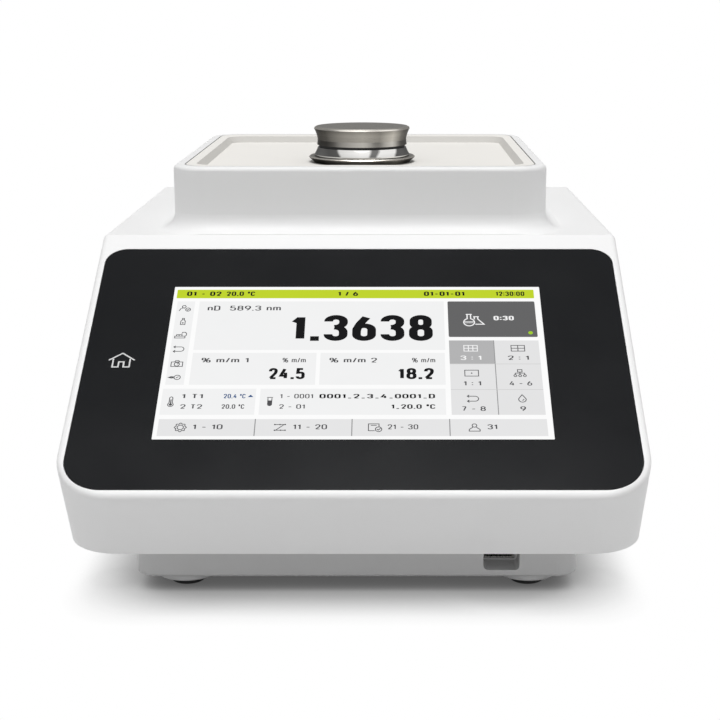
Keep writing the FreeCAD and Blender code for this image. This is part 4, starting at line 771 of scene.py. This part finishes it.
soft = on_screen()
for row in (
    ("nD  589.3 nm", -62.2, 73.2, 3.0, 30.6, FINE),
    ("% m/m 1", -62.0, 42.1, 2.7, 19.2, FINE),
    ("% m/m", -29.3, 42.1, 2.7, 9.4, FINE),
    ("% m/m 2", -10.4, 42.1, 2.7, 19.2, FINE),
    ("% m/m", 22.9, 42.1, 2.7, 9.4, FINE),
    ("1 T1", -68.0, 21.9, 2.4, 8.6, FINE),
    ("2 T2", -68.0, 16.2, 2.4, 8.6, FINE),
    ("20.0 °C", -51.8, 16.2, 2.4, 8.9, MIDDLE),
    ("1 - 0001", -29.3, 21.9, 2.4, 13.2, FINE),
    ("2 - 01", -29.3, 16.2, 2.4, 10.2, FINE),
    ("1 - 10", -62.1, 5.2, 2.6, 11.6, FINE),
    ("11 - 20", -23.4, 5.2, 2.6, 13.2, FINE),
    ("21 - 30", 13.2, 5.2, 2.6, 11.8, FINE),
    ("31", 51.7, 5.2, 2.6, 3.9, FINE),
):
    soft.figures(*row)
for text, middle, foot, wide in (
    ("2 : 1", 66.0, 43.6, 8.6),
    ("1 : 1", 46.8, 29.0, 7.2),
    ("4 - 6", 66.0, 29.0, 9.0),
    ("7 - 8", 46.8, 15.0, 9.4),
    ("9", 66.1, 15.0, 2.2),
):
    soft.figures(text, middle, foot, 2.5, wide, FINE, centred=True)

# Signs: what draws it, its middle across and up, its scale
for draw, x, y, size in (
    (ticked_person, -71.7, 74.6, 2.0),
    (bottle, -71.7, 66.5, 2.0),
    (bench, -71.7, 58.2, 2.0),
    (loop_arrow, -71.7, 50.0, 2.0),
    (case, -71.7, 41.4, 2.0),
    (lens, -71.7, 33.6, 2.0),
    (cog, -66.8, 6.2, 2.4),
    (route, -28.4, 6.2, 2.0),
    (ticked_sheet, 8.2, 6.2, 2.2),
    (person, 46.7, 6.2, 2.2),
    (table_sign(2, 2), 66.0, 50.4, 2.1),
    (table_sign(1, 1), 46.7, 36.0, 2.1),
    (tree, 66.0, 36.0, 2.1),
    (loop_arrow, 46.8, 21.8, 2.1),
    (drop, 66.1, 21.8, 2.1),
    (thermometer, -71.9, 20.1, 2.6),
    (test_tube, -33.1, 20.2, 2.6),
):
    draw(soft, x, y, size, LINE)
soft.build("screen_fine_figures", lit("screen_soft_ink", SOFT_INK), INK_LIFT)

blue = on_screen()
blue.figures("20.4 °C", -51.4, 21.9, 2.4, 8.6, MIDDLE)
blue.area([(-41.9, 22.6), (-39.7, 22.6), (-40.8, 23.9)])
blue.build("screen_blue_figures", lit("screen_blue_ink", BLUE_INK), INK_LIFT)

pale = on_screen()
flasks(pale, x=48.2, y=67.4, size=3.6, width=0.5)
pale.figures("0:30", 57.0, 67.2, 2.7, 8.4, BOLD)
table_sign(2, 3)(pale, 46.8, 50.4, 2.1, LINE)
pale.figures("3 : 1", 46.8, 43.6, 2.5, 8.6, FINE, centred=True)
pale.build("screen_pale_figures", lit("screen_pale_ink", PALE_INK), INK_LIFT)

# The home sign is printed on the glass, beside the picture
home = on_screen()
house(home, x=-94.2, y=43.6, size=4.0, width=0.62)
home.build("home_key_sign", moulded("sign_grey", (0.60, 0.60, 0.60), 0.5, cloud=0.03), ON_SURFACE)

# Signs on the rear panel: plain figures over the sockets

REAR_FIGURE_HEIGHT = 2.6
REAR_FIGURE_GAP = 2.2
ACROSS_BACK = Vector((-1, 0, 0))

rear_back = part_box("rear_panel")[1].y
behind = Print(Vector((0, rear_back, 0)), ACROSS_BACK, Vector((0, 0, 1)))
for number, node in enumerate(("ethernet_port", "rear_usb_port", "serial_port", "power_inlet"), 1):
    low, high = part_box(node)
    middle, foot = -(low.x + high.x) / 2 / MM, high.z / MM + REAR_FIGURE_GAP
    behind.figures(str(number), middle, foot, REAR_FIGURE_HEIGHT, None, BOLD, centred=True)
behind.build("rear_figures", moulded("rear_print", (0.10, 0.10, 0.11), 0.6, cloud=0.04), ON_SURFACE)

# Marks on the rocker: a bar on the half that switches on, a ring on the half that switches off

ROCKER_MARK_HEIGHT = 3.2
LOOKS_BACK = 0.9

rocker = frame["nodes"]["switch_rocker"].data
rocker_low, rocker_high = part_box("switch_rocker")
rocker_middle = (rocker_low + rocker_high) / 2
marks_finish = moulded("rocker_print", (0.80, 0.80, 0.80), 0.6, cloud=0.03)
for text, above in (("I", True), ("0", False)):
    faces = [face for face in rocker.polygons
             if face.normal.y > LOOKS_BACK and face.center.y > rocker_middle.y
             and (face.center.z > rocker_middle.z) == above]
    area = sum(face.area for face in faces)
    centre = sum((face.center * face.area for face in faces), Vector()) / area
    normal = sum((face.normal * face.area for face in faces), Vector()).normalized()
    mark = Print(centre, ACROSS_BACK, normal.cross(ACROSS_BACK))
    mark.figures(text, 0, -ROCKER_MARK_HEIGHT / 2, ROCKER_MARK_HEIGHT, None, BOLD, centred=True)
    mark.build("rocker_on_mark" if above else "rocker_off_mark", marks_finish, ON_SURFACE, "switch")

# Floor, light, camera

FLOOR_HALF = 6

floor_mesh = bmesh.new()
bmesh.ops.create_grid(floor_mesh, x_segments=8, y_segments=8, size=FLOOR_HALF)
floor_data = bpy.data.meshes.new("floor")
floor_mesh.to_mesh(floor_data)
floor_mesh.free()
floor = bpy.data.objects.new("floor", floor_data)
bpy.context.scene.collection.objects.link(floor)

# The paper throws back part of the light; looked at, it is white, with a painted shadow darkening it close to
# what stands on it
PAPER_BOUNCE = 0.62
SHADOW_REACH = 0.028
SHADOW_DEPTH = 1.9
SHADOW_SAMPLES = 24
DARKEST_PAPER = 0.09

paper = Nodes("floor_paper")
ray = paper.add("ShaderNodeLightPath")
seen = paper.math("MAXIMUM", ray.outputs["Is Camera Ray"], ray.outputs["Is Glossy Ray"])
seen = paper.math("MAXIMUM", seen, ray.outputs["Is Transmission Ray"])
# Painted shadow: the paper's glow for seen rays, darkened by ambient occlusion, not by the lamps
nearness = paper.add("ShaderNodeAmbientOcclusion", Distance=SHADOW_REACH)
nearness.samples = SHADOW_SAMPLES
painted_shadow_tone = paper.math("POWER", nearness.outputs["AO"], SHADOW_DEPTH)
painted_shadow_tone = paper.math("MULTIPLY_ADD", painted_shadow_tone, 1 - DARKEST_PAPER, DARKEST_PAPER)
bounce = paper.math("MULTIPLY", paper.math("SUBTRACT", 1.0, seen), PAPER_BOUNCE)
paper.surface(
    Base_Color=bounce,
    Roughness=0.9,
    Specular_IOR_Level=0.0,
    Emission_Color=painted_shadow_tone,
    Emission_Strength=seen,
)
floor_data.materials.append(paper.material)

# The room is even and white to look at. Metal mirrors two windows in front, with dark walls between
# them and a grey wall behind: angle from the front to the right in degrees, level.
ROOM_LIGHT = 0.44
ROOM_IN_METAL = (
    (-180, 0.45), (-100, 0.14), (-72, 0.14), (-64, 1.0), (22, 1.0), (30, 0.2), (46, 0.2), (54, 1.0),
    (100, 1.0), (108, 0.12), (140, 0.2), (180, 0.45),
)

world = bpy.data.worlds.new("studio")
bpy.context.scene.world = world
world.use_nodes = True


def room(kind, operation=None, **inputs):
    """A node of the room's light; an input goes by its name, or by its number after an underscore."""
    node = world.node_tree.nodes.new(kind)
    if operation:
        node.operation = operation
    for name, value in inputs.items():
        socket = node.inputs[int(name[1:]) if name[1:].isdigit() else name.replace("_", " ")]
        if isinstance(value, bpy.types.NodeSocket):
            world.node_tree.links.new(value, socket)
        else:
            socket.default_value = value
    return node


sky_ray = room("ShaderNodeLightPath").outputs
way = room("ShaderNodeSeparateXYZ", Vector=room("ShaderNodeTexCoord").outputs["Generated"]).outputs
toward = room("ShaderNodeMath", "MULTIPLY", _0=way["Y"], _1=-1.0).outputs[0]
angle = room("ShaderNodeMath", "ARCTAN2", _0=way["X"], _1=toward).outputs[0]
turn = room("ShaderNodeMapRange", Value=angle, From_Min=-math.pi, From_Max=math.pi).outputs["Result"]
mirrored = room("ShaderNodeValToRGB", Fac=turn)
graded(mirrored.color_ramp, ROOM_IN_METAL, 360)
lighting = room("ShaderNodeMapRange", Value=sky_ray["Is Glossy Ray"], To_Min=ROOM_LIGHT,
                To_Max=mirrored.outputs["Color"])
room_level = room("ShaderNodeMath", "MAXIMUM", _0=sky_ray["Is Camera Ray"], _1=lighting.outputs["Result"])
background = world.node_tree.nodes["Background"]
background.inputs["Color"].default_value = (1, 1, 1, 1)
world.node_tree.links.new(room_level.outputs[0], background.inputs["Strength"])


def sunlight(name, strength, spread, tilt):
    """Even light from far off, spread over some degrees and tilted forward from overhead by some."""
    data = bpy.data.lights.new(name, "SUN")
    data.energy = strength
    data.angle = math.radians(spread)
    light = bpy.data.objects.new(name, data)
    bpy.context.scene.collection.objects.link(light)
    light.rotation_euler = (math.radians(tilt), 0, 0)


sunlight("overhead_light", strength=2.02, spread=32, tilt=9)
sunlight("front_fill", strength=0.15, spread=60, tilt=80)

# The camera looks back and a little down; its picture is shifted across by some pixels
FOCAL_LENGTH = 75.9
SENSOR_WIDTH = 36
PICTURE_WIDTH = 720
PICTURE_SHIFT = -33
PITCH_DOWN = 13.2
CAMERA_PLACE = (0.0148, -0.692, 0.233)

camera_data = bpy.data.cameras.new("camera")
camera_data.lens = FOCAL_LENGTH
camera_data.sensor_width = SENSOR_WIDTH
camera_data.shift_x = PICTURE_SHIFT / PICTURE_WIDTH
camera = bpy.data.objects.new("camera", camera_data)
bpy.context.scene.collection.objects.link(camera)
camera.location = CAMERA_PLACE
camera.rotation_euler = (math.radians(90 - PITCH_DOWN), 0, 0)
bpy.context.scene.camera = camera

bpy.context.scene.view_settings.view_transform = "Standard"
